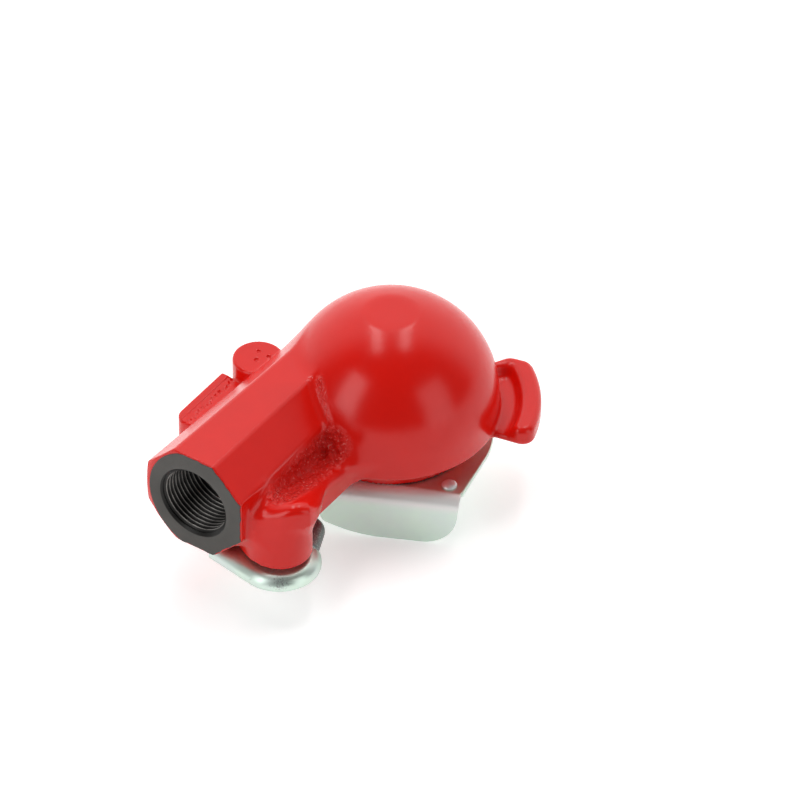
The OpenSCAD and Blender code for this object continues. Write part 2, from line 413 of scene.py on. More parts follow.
def lathe(profile: Sequence[Spot], steps: int, centre: Spot) -> tuple[np.ndarray, np.ndarray]:
    """Turn a closed profile about an upright axis.

    Args:
        profile: Radius and height of each corner, in order.
        steps: Number of steps round.
        centre: Where the axis stands in plan.

    Returns:
        Vertices and quads.
    """
    ring = np.array(profile)
    turn = np.linspace(0, 2 * math.pi, steps, endpoint=False)
    verts = np.stack([
        centre[0] + np.outer(np.cos(turn), ring[:, 0]),
        centre[1] + np.outer(np.sin(turn), ring[:, 0]),
        np.tile(ring[:, 1], (steps, 1))], -1).reshape(-1, 3)
    n = len(ring)
    faces = []
    for i in range(steps):
        for j in range(n):
            a, b = i * n, ((i + 1) % steps) * n
            faces.append((a + j, b + j, b + (j + 1) % n, a + (j + 1) % n))
    return verts, np.array(faces)


def soft_profile(corners: Profile, steps: int = 5, most: float = 0.45) -> list[Spot]:
    """Round the corners of a closed profile.

    Args:
        corners: Radius, height and rounding of each corner.
        steps: Steps in each rounding.
        most: Largest share of a side that a rounding takes.

    Returns:
        The rounded profile.
    """
    out: list[Spot] = []
    n = len(corners)
    for i, (x, y, r) in enumerate(corners):
        p = np.array((x, y))
        a = np.array(corners[i - 1][:2]) - p
        b = np.array(corners[(i + 1) % n][:2]) - p
        la, lb = np.linalg.norm(a), np.linalg.norm(b)
        if r <= 0:
            out.append((x, y))
            continue
        cut = min(r, most * la, most * lb)
        start, end = p + a / la * cut, p + b / lb * cut
        for t in np.linspace(0, 1, steps):
            q = (1 - t) ** 2 * start + 2 * t * (1 - t) * p + t * t * end
            out.append((float(q[0]), float(q[1])))
    return out


# Finishes

class Socket(Enum):
    """Kinds of group sockets."""

    FLOAT = "NodeSocketFloat"
    COLOR = "NodeSocketColor"


class Sheet:
    """Short way to place and join shader nodes in one tree."""

    def __init__(self, tree: bpy.types.NodeTree) -> None:
        """Hold the tree."""
        self.tree = tree

    def add(self, kind: str, **values: object) -> bpy.types.Node:
        """Place a node.

        Args:
            kind: Blender's node type.
            values: Node properties, and inputs as in_NAME or in_NUMBER.

        Returns:
            The node.
        """
        node = self.tree.nodes.new(kind)
        for key, value in values.items():
            if key.startswith("in_"):
                name = key[3:].replace("_", " ")
                spot = node.inputs[int(name)] if name.isdigit() else node.inputs[name]
                if isinstance(value, bpy.types.NodeSocket):
                    self.tree.links.new(value, spot)
                else:
                    spot.default_value = value
            else:
                setattr(node, key, value)
        return node

    def join(self, value: bpy.types.NodeSocket, spot: bpy.types.NodeSocket) -> None:
        """Link a value to a socket."""
        self.tree.links.new(value, spot)

    def place(self) -> bpy.types.NodeSocket:
        """Give the place on the piece, in its own metres."""
        return self.add("ShaderNodeTexCoord").outputs["Object"]

    def mark(self, name: str) -> bpy.types.NodeSocket:
        """Give a share that is stored at the vertices."""
        return self.add("ShaderNodeAttribute", attribute_name=name).outputs["Fac"]

    def math(self, operation: str, a: object, b: object = 0.0, clamp: bool = False) -> bpy.types.NodeSocket:
        """Place a maths node and give its output."""
        return self.add("ShaderNodeMath", operation=operation, use_clamp=clamp, in_0=a, in_1=b).outputs[0]

    def mix(self, factor: object, a: object, b: object) -> bpy.types.NodeSocket:
        """Mix two colours and give the result."""
        return self.add("ShaderNodeMix", data_type="RGBA", in_0=factor, in_6=a, in_7=b).outputs[2]

    def noise(self, where: object, scale: object, detail: float = 2.0, rough: float = 0.5
              ) -> bpy.types.NodeSocket:
        """Place a noise texture and give its value."""
        return self.add("ShaderNodeTexNoise", in_Vector=where, in_Scale=scale, in_Detail=detail,
                        in_Roughness=rough).outputs[0]

    def ramp(self, value: object, stops: Sequence[Spot]) -> bpy.types.NodeSocket:
        """Map a value through grey stops.

        Args:
            value: The value.
            stops: Place and grey of each stop.

        Returns:
            The mapped value.
        """
        node = self.add("ShaderNodeValToRGB", in_0=value)
        for stop, (place, grey) in zip(node.color_ramp.elements, stops, strict=True):
            stop.position = place
            stop.color = (grey, grey, grey, 1.0)
        return node.outputs[0]


def make_group(name: str, inputs: Sequence[tuple[str, Socket, object]], outputs: Sequence[tuple[str, Socket]]
               ) -> tuple[Sheet, bpy.types.Node, bpy.types.Node]:
    """Start a shader node group.

    Args:
        name: The group's name.
        inputs: Name, kind and start value of each input.
        outputs: Name and kind of each output.

    Returns:
        A sheet to draw the group on, and its input and output nodes.
    """
    tree = bpy.data.node_groups.new(name, "ShaderNodeTree")
    for label, kind, value in inputs:
        spot = tree.interface.new_socket(label, in_out="INPUT", socket_type=kind.value)
        spot.default_value = value
    for label, kind in outputs:
        tree.interface.new_socket(label, in_out="OUTPUT", socket_type=kind.value)
    sheet = Sheet(tree)
    return sheet, sheet.add("NodeGroupInput"), sheet.add("NodeGroupOutput")


def grain_group(cloud_scale: float = 60.0, cloud_from: float = 0.35, cloud_to: float = 0.68
                ) -> bpy.types.NodeTree:
    """Group that gives a cast or pressed surface its fine height and mottled shade.

    Args:
        cloud_scale: How many clouds go into a metre.
        cloud_from: Noise at which a cloud begins.
        cloud_to: Noise at which it is full.

    Returns:
        The node group.
    """
    s, given, out = make_group(
        "fine_grain",
        [("Coarse", Socket.FLOAT, 400.0), ("Fine", Socket.FLOAT, 2500.0), ("Balance", Socket.FLOAT, 0.5),
         ("Colour A", Socket.COLOR, (0.5, 0.5, 0.5, 1)), ("Colour B", Socket.COLOR, (0.4, 0.4, 0.4, 1))],
        [("Height", Socket.FLOAT), ("Shade", Socket.COLOR), ("Mask", Socket.FLOAT)])
    where = s.place()
    coarse = s.noise(where, given.outputs["Coarse"], 3.0)
    fine = s.noise(where, given.outputs["Fine"], 2.0)
    height = s.add("ShaderNodeMix", data_type="FLOAT", in_0=given.outputs["Balance"], in_2=coarse, in_3=fine)
    mask = s.ramp(s.noise(where, cloud_scale, 4.0, 0.6), [(cloud_from, 0.0), (cloud_to, 1.0)])
    shade = s.mix(mask, given.outputs["Colour A"], given.outputs["Colour B"])
    s.join(height.outputs[0], out.inputs["Height"])
    s.join(shade, out.inputs["Shade"])
    s.join(mask, out.inputs["Mask"])
    return s.tree


class Begun(NamedTuple):
    """A material that has its grain, with the nodes that a finish goes on from."""

    mat: bpy.types.Material
    sheet: Sheet
    shader: bpy.types.Node
    shade: bpy.types.NodeSocket
    normal: bpy.types.NodeSocket


@dataclass(frozen=True)
class Finish:
    """One surface finish: its colours and how it takes the light."""

    name: str
    tone: Tone
    cloud_tone: Tone
    metallic: float
    rough: Spot
    coarse: float
    fine: float
    balance: float
    bump: float
    depth: float
    specular: float = 0.5

    def start(self, grain: bpy.types.NodeTree) -> Begun:
        """Make the material with its grain in place.

        Args:
            grain: The shared grain group.

        Returns:
            The material and the nodes to go on from.
        """
        mat = bpy.data.materials.new(self.name)
        mat.use_nodes = True
        s = Sheet(mat.node_tree)
        shader = mat.node_tree.nodes["Principled BSDF"]
        shader.inputs["Metallic"].default_value = self.metallic
        shader.inputs["Specular IOR Level"].default_value = self.specular
        node = s.add("ShaderNodeGroup", node_tree=grain, in_Coarse=self.coarse, in_Fine=self.fine,
                     in_Balance=self.balance, in_Colour_A=(*self.tone, 1.0),
                     in_Colour_B=(*self.cloud_tone, 1.0))
        rough = s.add("ShaderNodeMapRange", in_0=node.outputs["Mask"], in_3=self.rough[0], in_4=self.rough[1])
        bump = s.add("ShaderNodeBump", in_Strength=self.bump, in_Distance=self.depth,
                     in_Height=node.outputs["Height"])
        s.join(rough.outputs[0], shader.inputs["Roughness"])
        s.join(node.outputs["Shade"], shader.inputs["Base Color"])
        s.join(bump.outputs[0], shader.inputs["Normal"])
        return Begun(mat, s, shader, node.outputs["Shade"], bump.outputs[0])

    def make(self, grain: bpy.types.NodeTree) -> bpy.types.Material:
        """Make the material, with nothing on it but its grain."""
        return self.start(grain).mat


@dataclass(frozen=True)
class RedPaint(Finish):
    """Satin red paint over the casting, rougher in the valley beside the neck, with painted shade in the pits
    and painted highlights on the grains of its rough skin.
    """

    name: str = "red_paint_finish"
    tone: Tone = (0.79, 0.0090, 0.0040)
    cloud_tone: Tone = (0.74, 0.0082, 0.0036)
    metallic: float = 0.0
    rough: Spot = (0.20, 0.27)
    coarse: float = 420.0
    fine: float = 1600.0
    balance: float = 0.40
    bump: float = 0.10
    depth: float = 0.00035
    specular: float = 0.375
    speck_scale: float = 1150.0
    speck_depth: float = 0.0009
    # Painted shade in the pits of the rough skin.
    pit_shade_tone: Tone = (0.30, 0.005, 0.004)
    # Painted glints on the grains of the rough skin.
    glint_tone: Tone = (0.86, 0.26, 0.23)

    def make(self, grain: bpy.types.NodeTree) -> bpy.types.Material:
        """Make the paint with its specks of painted shade and painted highlight.

        Args:
            grain: The shared grain group.

        Returns:
            The material.
        """
        mat, s, shader, shade, normal = self.start(grain)
        share = s.mark("rough_share")
        specks = s.noise(s.place(), self.speck_scale, 3.0, 0.65)
        rough = s.add("ShaderNodeBump", in_Strength=1.0, in_Distance=self.speck_depth,
                      in_Height=s.math("MULTIPLY", specks, share), in_Normal=normal)
        # Where the skin is rough, the low specks get painted shade, as in pits.
        painted_pit_shade = s.math("MULTIPLY", s.ramp(specks, [(0.36, 0.35), (0.50, 0.0)]), share)
        # Where the skin is rough, the high specks get painted glints.
        painted_glints = s.math("MULTIPLY", s.ramp(specks, [(0.58, 0.0), (0.68, 0.6)]), share)
        shade = s.mix(painted_pit_shade, shade, (*self.pit_shade_tone, 1.0))
        shade = s.mix(painted_glints, shade, (*self.glint_tone, 1.0))
        s.join(rough.outputs[0], shader.inputs["Normal"])
        s.join(shade, shader.inputs["Base Color"])
        return mat


@dataclass(frozen=True)
class BareIron(Finish):
    """Dark turned iron, with a painted highlight on the thread's crests and painted shade in its grooves and
    on the lead-in.
    """

    name: str = "bare_iron_finish"
    tone: Tone = (0.068, 0.064, 0.058)
    cloud_tone: Tone = (0.056, 0.053, 0.048)
    metallic: float = 0.5
    rough: Spot = (0.38, 0.48)
    coarse: float = 900.0
    fine: float = 5000.0
    balance: float = 0.5
    bump: float = 0.12
    depth: float = 0.0002
    # Painted highlight on the thread's crests.
    crest_highlight_tone: Tone = (0.36, 0.34, 0.32)
    # Painted shade in the thread's grooves.
    groove_shade_tone: Tone = (0.010, 0.009, 0.008)

    def make(self, grain: bpy.types.NodeTree) -> bpy.types.Material:
        """Make the iron with its crests and grooves.

        Args:
            grain: The shared grain group.

        Returns:
            The material.
        """
        mat, s, shader, shade, _ = self.start(grain)
        # The grooves and, in part, the lead-in get painted shade.
        groove_shade_share = s.ramp(s.mark("groove_shade"), [(0.08, 0.0), (0.45, 1.0)])
        # The crests get a painted highlight.
        shade = s.mix(s.mark("crest_highlight"), shade, (*self.crest_highlight_tone, 1.0))
        shade = s.mix(groove_shade_share, shade, (*self.groove_shade_tone, 1.0))
        s.join(shade, shader.inputs["Base Color"])
        return mat


@dataclass(frozen=True)
class PlatedSteel(Finish):
    """Plated steel of a small turned piece, slightly cloudy."""

    rough: Spot = (0.35, 0.43)
    coarse: float = 70.0
    fine: float = 900.0
    balance: float = 0.12
    bump: float = 0.03
    depth: float = 0.0004


@dataclass(frozen=True)
class ZincSheet(PlatedSteel):
    """Zinc plate on the pressed sheet, with painted shade on the ear's rim, a darker patch on the tail's rim
    and a painted highlight along the grip's bend.
    """

    name: str = "zinc_sheet_finish"
    tone: Tone = (0.65, 0.80, 0.69)
    cloud_tone: Tone = (0.64, 0.73, 0.70)
    metallic: float = 0.88
    speck_scale: float = 1700.0
    # Painted shade on the ear's rim and a darker patch on the tail's rim.
    shade_and_patch_gain: float = 1.5
    shade_and_patch_tone: Tone = (0.210, 0.210, 0.215)
    # Painted highlight along the grip's bend: near white and with little metal.
    bend_highlight_tone: Tone = (0.90, 0.92, 0.90)
    bend_highlight_metallic: float = 0.25

    def make(self, grain: bpy.types.NodeTree) -> bpy.types.Material:
        """Make the plate with its painted shade, its darker patch and its painted highlight along the bend.

        Args:
            grain: The shared grain group.

        Returns:
            The material.
        """
        mat, s, shader, shade, _ = self.start(grain)
        # Painted highlight along the grip's bend.
        bend_highlight = s.mark("bend_highlight")
        # Painted shade on the ear's rim and a darker patch on the tail's rim, broken up by specks.
        specks = s.noise(s.place(), self.speck_scale, 2.0)
        shade_and_patch_mask = s.math("SUBTRACT", s.math("MULTIPLY", s.mark("shade_and_patch"), self.shade_and_patch_gain), specks)
        shade = s.mix(s.ramp(shade_and_patch_mask, [(0.0, 0.0), (0.35, 1.0)]), shade, (*self.shade_and_patch_tone, 1.0))
        shade = s.mix(bend_highlight, shade, (*self.bend_highlight_tone, 1.0))
        metal = s.ramp(bend_highlight, [(0.0, self.metallic), (1.0, self.bend_highlight_metallic)])
        s.join(shade, shader.inputs["Base Color"])
        s.join(metal, shader.inputs["Metallic"])
        return mat


@dataclass(frozen=True)
class SealRubber(Finish):
    """Black moulded rubber."""

    name: str = "seal_rubber_finish"
    tone: Tone = (0.018, 0.018, 0.018)
    cloud_tone: Tone = (0.028, 0.027, 0.026)
    metallic: float = 0.0
    rough: Spot = (0.5, 0.62)
    coarse: float = 800.0
    fine: float = 4000.0
    balance: float = 0.5
    bump: float = 0.15
    depth: float = 0.0003


class Finishes:
    """All the finishes of the head, each made once."""

    def __init__(self) -> None:
        """Make the shared grain and the materials."""
        grain = grain_group()
        self.paint = RedPaint().make(grain)
        self.iron = BareIron().make(grain)
        self.zinc = ZincSheet().make(grain)
        # The rivet's plating is much lighter and less metallic than the pin's, a painted highlight that makes
        # it read as lit.
        self.rivet = PlatedSteel("rivet_lightened_finish", (0.90, 0.90, 0.90), (0.80, 0.80, 0.81), 0.55).make(grain)
        self.pin = PlatedSteel("pin_finish", (0.62, 0.62, 0.63), (0.50, 0.50, 0.52), 0.88).make(grain)
        self.rubber = SealRubber().make(grain)


def wear(obj: bpy.types.Object, mat: bpy.types.Material) -> None:
    """Give a piece its only material."""
    obj.data.materials.clear()
    obj.data.materials.append(mat)


# Forms of the casting

@dataclass(frozen=True)
class Dome:
    """The dome with its flat spot, skirt and collar."""

    r: float = 31.4
    centre_z: float = 14.25
    flat_r: float = 7.5
    flat_edge: float = 0.4
    skirt_z: float = 7.5
    skirt_edge: float = 1.0
    collar_r: float = 24.0
    collar_up: float = 4.0
    collar_blend: float = 0.8

    def distance(self, p: Points) -> np.ndarray:
        """Distance to the dome.

        Args:
            p: Points in millimetres.

        Returns:
            One distance for each point, negative inside.
        """
        x, y, z = p.T
        rho = np.hypot(x, y)
        up = np.maximum(z - self.centre_z, 0.0)
        flat_z = self.centre_z + math.sqrt(self.r ** 2 - self.flat_r ** 2)
        shell = np.hypot(rho, up) - self.r
        shell = trim(shell, z - flat_z, self.flat_edge)
        shell = rounded_pair(shell, self.skirt_z - z, self.skirt_edge)
        collar = np.maximum(np.maximum(rho - self.collar_r, -z), z - self.skirt_z - self.collar_up)
        return blend_in(shell, collar, self.collar_blend)


@dataclass(frozen=True)
class Neck:
    """The octagonal, slightly tapered neck with its turned mouth."""

    mouth: Mouth = Mouth()
    half_in: float = 14.0
    end_x: float = -4.0
    flat_soft: float = 0.4
    corner_soft: float = 0.7
    mouth_edge: float = 0.35
    face_slope: float = 0.4
    face_edge: float = 0.25

    def distance(self, p: Points) -> np.ndarray:
        """Distance to the neck.

        Args:
            p: Points in millimetres.

        Returns:
            One distance for each point, negative inside.
        """
        x, y, z = p.T
        mouth = self.mouth
        a, b = y - mouth.axis[0], z - mouth.axis[1]
        t = (x - mouth.x) / (self.end_x - mouth.x)
        half = mouth.half + (self.half_in - mouth.half) * t
        fa, fb = np.abs(a), np.abs(b)
        d = trim(trim(fa, fb, self.flat_soft), (fa + fb) / math.sqrt(2.0), self.corner_soft) - half
        d = rounded_pair(d, mouth.x - x, self.mouth_edge)
        strip = self.face_slope * (np.hypot(a + mouth.face_off, b) - mouth.face_r) - (x - mouth.x)
        d = trim(d, strip, self.face_edge)
        return np.maximum(d, x - self.end_x)


@dataclass(frozen=True)
class Boss:
    """The pivot boss, run together with the web that joins it to neck and dome."""

    r: float = 9.6
    top_r: float = 6.2
    height: float = 23.4
    lean: Spot = (1.5, -3.1)
    top_round: float = 3.8
    foot_z: float = 1.4
    foot_round: float = 0.4
    web_r: float = 4.7
    web_start: float = 6.0
    web_end_x: float = -24.0
    web_bottom: float = 6.0
    web_round: float = 3.4
    web_foot_round: float = 1.2
    narrow_from: float = -4.0
    narrow_to: float = 16.0
    ridge_from: float = 0.5
    ridge_soft: float = 3.0
    ridge_fall: float = 10.9
    ridge_run: float = 18.0
    crest_w: float = 2.2
    crest_soft: float = 1.8
    valley_slope: Spot = (0.34, 0.42)
    valley_w: float = 9.5
    flare_least: float = 1.0
    flare_more: float = 13.0
    flare_up: float = 1.0
    flare_rise: float = 8.0

    def top(self, dx: np.ndarray, dy: np.ndarray) -> np.ndarray:
        """Height of boss and web: a ridge that falls towards the dome, with a valley beside the neck.

        Args:
            dx: Distance from the pivot along the neck.
            dy: Distance from the pivot across it.

        Returns:
            One height for each point.
        """
        high = ease(share_between(dx, self.narrow_to, self.narrow_from - self.narrow_to))
        run = dx + self.ridge_from
        run = 0.5 * (run + np.hypot(run, self.ridge_soft))
        ridge = self.height - self.ridge_fall * (1.0 - np.exp(-run / self.ridge_run))
        past = dy + self.web_r + (self.r - self.web_r) * high - self.crest_w
        slope = self.valley_slope[0] + (self.valley_slope[1] - self.valley_slope[0]) * high
        return ridge - slope * 0.5 * (past + np.hypot(past, self.crest_soft))

    def distance(self, p: Points) -> np.ndarray:
        """Distance to boss and web.

        Args:
            p: Points in millimetres.

        Returns:
            One distance for each point, negative inside.
        """
        x, y, z = p.T
        dx, dy = x - PIVOT[0], y - PIVOT[1]
        top = self.top(dx, dy)
        rise = np.clip(z / self.height, 0.0, 1.0)
        wall = np.hypot(dx - self.lean[0] * rise, dy - self.lean[1] * rise)
        wall = wall - self.r - (self.top_r - self.r) * rise
        flare = share_between(z, self.web_bottom + self.flare_up, self.flare_rise)
        flare = self.flare_least + self.flare_more * flare
        plan = blend_in(wall, np.maximum(-self.web_r - dy, self.web_start - dx), flare)
        plan = np.maximum(np.maximum(plan, dy - self.valley_w), x - self.web_end_x)
        web = rounded_pair(plan, z - top, self.web_round)
        web = rounded_pair(web, self.web_bottom - z, self.web_foot_round)
        post = rounded_pair(wall, z - top, self.top_round)
        post = rounded_pair(post, self.foot_z - z, self.foot_round)
        return np.minimum(post, web)


@dataclass(frozen=True)
class Lug:
    """The locking lug with its raised lip and its pocket."""

    r: float = 43.5
    root_r: float = 26.0
    lip_in_r: float = 37.2
    bottom_z: float = 7.6
    floor_z: float = 10.0
    lip_z: float = 13.5
    near_turn: float = -78.5
    far_turn: float = -27.5
    wall_turn: float = 6.0
    cut_turn: float = 14.0
    cut: float = 28.6
    cut_soft: float = 1.5
    near_round: float = 4.0
    far_round: float = 1.0
    lip_round: float = 2.0
    foot_round: float = 1.2
    pocket_soft: float = 3.0
    pocket_edge: float = 2.6

    def distance(self, p: Points) -> np.ndarray:
        """Distance to the lug.

        Args:
            p: Points in millimetres.

        Returns:
            One distance for each point, negative inside.
        """
        x, y, z = p.T
        rho = np.hypot(x, y)
        near, far = math.radians(self.near_turn), math.radians(self.far_turn)
        plan = rounded_pair(rho - self.r, x * math.sin(near) - y * math.cos(near), self.near_round)
        plan = rounded_pair(plan, y * math.cos(far) - x * math.sin(far), self.far_round)
        block = rounded_pair(plan, z - self.lip_z, self.lip_round)
        block = rounded_pair(block, self.bottom_z - z, self.foot_round)
        turn = math.radians(self.cut_turn)
        block = trim(block, x * math.cos(turn) + y * math.sin(turn) - self.cut, self.cut_soft)
        block = np.maximum(block, self.root_r - rho)
        stop = math.radians(self.far_turn - self.wall_turn)
        pocket = trim(rho - self.lip_in_r, self.floor_z - z, self.pocket_soft)
        pocket = trim(pocket, y * math.cos(stop) - x * math.sin(stop), self.pocket_soft)
        return trim(block, -pocket, self.pocket_edge)


@dataclass(frozen=True)
class Shoulder:
    """The shoulder beside the neck and its knob, both with small cast pits."""

    low: Place = (-47.5, 17.0, 6.0)
    high: Place = (-23.0, 43.5, 17.5)
    corner: float = 4.0
    edge: float = 0.7
    foot_edge: float = 0.8
    ledge_y: float = 40.6
    ledge_run: float = 0.5
    ledge_drop: float = 0.25
    ledge_rise: float = 0.3
    pit_y: float = 38.9
    pit_r: float = 0.66
    pit_pitch: float = 1.7
    pit_stray: Spot = (0.3, 0.25)
    pit_edge: float = 0.15
    knob: Spot = (-16.0, 35.6)
    knob_r: float = 7.5
    knob_top: float = 22.0
    knob_edge: float = 0.8
    knob_blend: float = 1.0
    knob_pit_turns: tuple[float, ...] = (55.0, 175.0, 295.0)
    knob_pit_at: Spot = (1.0, -0.4)
    knob_pit_ring: float = 2.2
    knob_pit_up: float = 0.2
    knob_pit_r: float = 0.75
    knob_pit_edge: float = 0.2

    def block(self, p: Points) -> np.ndarray:
        """Distance to the shoulder with its ledge and its row of pits.

        Args:
            p: Points in millimetres.

        Returns:
            One distance for each point, negative inside.
        """
        x, y, z = p.T
        plan = rounded_pair(self.low[0] - x, y - self.high[1], self.corner)
        plan = rounded_pair(plan, x - self.high[0], self.edge)
        plan = np.maximum(plan, self.low[1] - y)
        ledge = share_between(y, self.ledge_y, self.ledge_run)
        top = self.high[2] - self.ledge_drop + self.ledge_rise * ledge
        mark = np.round((x - self.low[0]) / self.pit_pitch)
        px = self.low[0] + self.pit_pitch * mark + self.pit_stray[0] * np.sin(7.0 * mark)
        py = self.pit_y + self.pit_stray[1] * np.sin(5.0 * mark + 1.0)
        pit = ball(p, px, py, self.high[2], self.pit_r)
        d = trim(rounded_pair(plan, z - top, self.edge), -pit, self.pit_edge)
        return rounded_pair(d, self.low[2] - z, self.foot_edge)

    def distance(self, p: Points) -> np.ndarray:
        """Distance to shoulder and knob.

        Args:
            p: Points in millimetres.

        Returns:
            One distance for each point, negative inside.
        """
        x, y, z = p.T
        knob = np.hypot(x - self.knob[0], y - self.knob[1]) - self.knob_r
        knob = rounded_pair(knob, z - self.knob_top, self.knob_edge)
        knob = rounded_pair(knob, self.low[2] - z, self.foot_edge)
        for turn in map(math.radians, self.knob_pit_turns):
            px = self.knob[0] + self.knob_pit_at[0] + self.knob_pit_ring * math.cos(turn)
            py = self.knob[1] + self.knob_pit_at[1] + self.knob_pit_ring * math.sin(turn)
            pit = ball(p, px, py, self.knob_top + self.knob_pit_up, self.knob_pit_r)
            knob = trim(knob, -pit, self.knob_pit_edge)
        return blend_in(self.block(p), knob, self.knob_blend)


@dataclass(frozen=True)
class Claw:
    """The hook that reaches under a mating lug."""

    in_r: float = 44.2
    out_r: float = 48.5
    top_z: float = 12.0
    low_z: float = -17.4
    lip_z: float = -14.0
    lip_blend: float = 1.6
    tooth_r: Spot = (33.8, 37.8)
    tooth_z: float = -10.6
    tooth_blend: float = 1.2
    turn: Spot = (117.0, 141.0)
    edge: float = 1.2

    def bar(self, p: Points, reach: Spot, top: float) -> np.ndarray:
        """Distance to one ring-shaped bar that stands on the hook's lowest face.

        Args:
            p: Points in millimetres.
            reach: Inner and outer radius.
            top: Height of its upper face.

        Returns:
            One distance for each point, negative inside.
        """
        rho = np.hypot(p[:, 0], p[:, 1])
        across = np.abs(rho - (reach[0] + reach[1]) / 2) - (reach[1] - reach[0]) / 2
        upright = np.abs(p[:, 2] - (self.low_z + top) / 2) - (top - self.low_z) / 2
        return rounded_pair(across, upright, self.edge)

    def distance(self, p: Points) -> np.ndarray:
        """Distance to the hook.

        Args:
            p: Points in millimetres.

        Returns:
            One distance for each point, negative inside.
        """
        x, y, z = p.T
        hook = self.bar(p, (self.in_r, self.out_r), self.top_z)
        hook = blend_in(hook, self.bar(p, (self.tooth_r[0], self.out_r), self.lip_z), self.lip_blend)
        hook = blend_in(hook, self.bar(p, self.tooth_r, self.tooth_z), self.tooth_blend)
        a, b = map(math.radians, self.turn)
        ends = np.maximum(x * math.sin(a) - y * math.cos(a), y * math.cos(b) - x * math.sin(b))
        return np.maximum(rounded_pair(hook, ends, self.edge), self.low_z - z)


@dataclass(frozen=True)
class AirWay:
    """The hollow from the port to the seal, and the hole of the pivot pin."""

    mouth: Mouth = Mouth()
    dome: Dome = Dome()
    wall: float = 5.8
    sleeve_gap: float = 0.1
    thread_gap: float = 0.6
    passage_end_x: float = -14.0
    seal_r: float = 20.0
    seal_h: float = 8.3
    throat_r: float = 14.0
    throat_top: float = 14.0
    throat_lap: float = 0.5
    floor_w: float = 3.0
    fit: float = 0.05
    pin_r: float = 4.0
    pin_top: float = 9.1
    blend: float = 2.0

    def distance(self, p: Points) -> np.ndarray:
        """Distance to the hollow.

        Args:
            p: Points in millimetres.

        Returns:
            One distance for each point, negative in the hollow.
        """
        x, y, z = p.T
        mouth = self.mouth
        rho = np.hypot(x, y)
        axis = np.hypot(y - mouth.axis[0], z - mouth.axis[1])
        deep = mouth.x + mouth.depth + self.thread_gap
        port = np.maximum(axis - mouth.sleeve_r - self.sleeve_gap, x - deep)
        way = np.maximum(np.maximum(axis - mouth.passage_r, x - self.passage_end_x), mouth.x - x)
        hollow = ball(p, 0.0, 0.0, self.dome.centre_z, self.dome.r - self.wall)
        hollow = np.maximum(hollow, self.seal_h + self.floor_w - z)
        throat = np.maximum(rho - self.throat_r, self.seal_h - self.throat_lap - z)
        throat = np.maximum(throat, z - self.throat_top)
        seat = np.maximum(rho - self.seal_r - self.fit, z - self.seal_h - self.fit)
        hole = np.hypot(x - PIVOT[0], y - PIVOT[1]) - self.pin_r - self.fit
        hole = np.maximum(hole, z - self.pin_top)
        out = blend_in(np.minimum(way, throat), hollow, self.blend)
        return np.minimum(np.minimum(np.minimum(out, port), seat), hole)


@dataclass(frozen=True)
class RoughRun:
    """One stretch of rough cast skin, along a straight line."""

    start: Place
    end: Place
    start_r: float
    end_r: float
    fade: float = 3.0

    def share(self, p: Points) -> np.ndarray:
        """How rough the skin is near this line.

        Args:
            p: Points in millimetres.

        Returns:
            One share for each point, from 0 to 1.
        """
        a, b = np.array(self.start), np.array(self.end)
        along = np.clip(((p - a) @ (b - a)) / ((b - a) @ (b - a)), 0.0, 1.0)
        away = np.linalg.norm(p - a - along[:, None] * (b - a), axis=1)
        return np.clip((self.start_r + (self.end_r - self.start_r) * along - away) / self.fade, 0.0, 1.0)


# Pieces

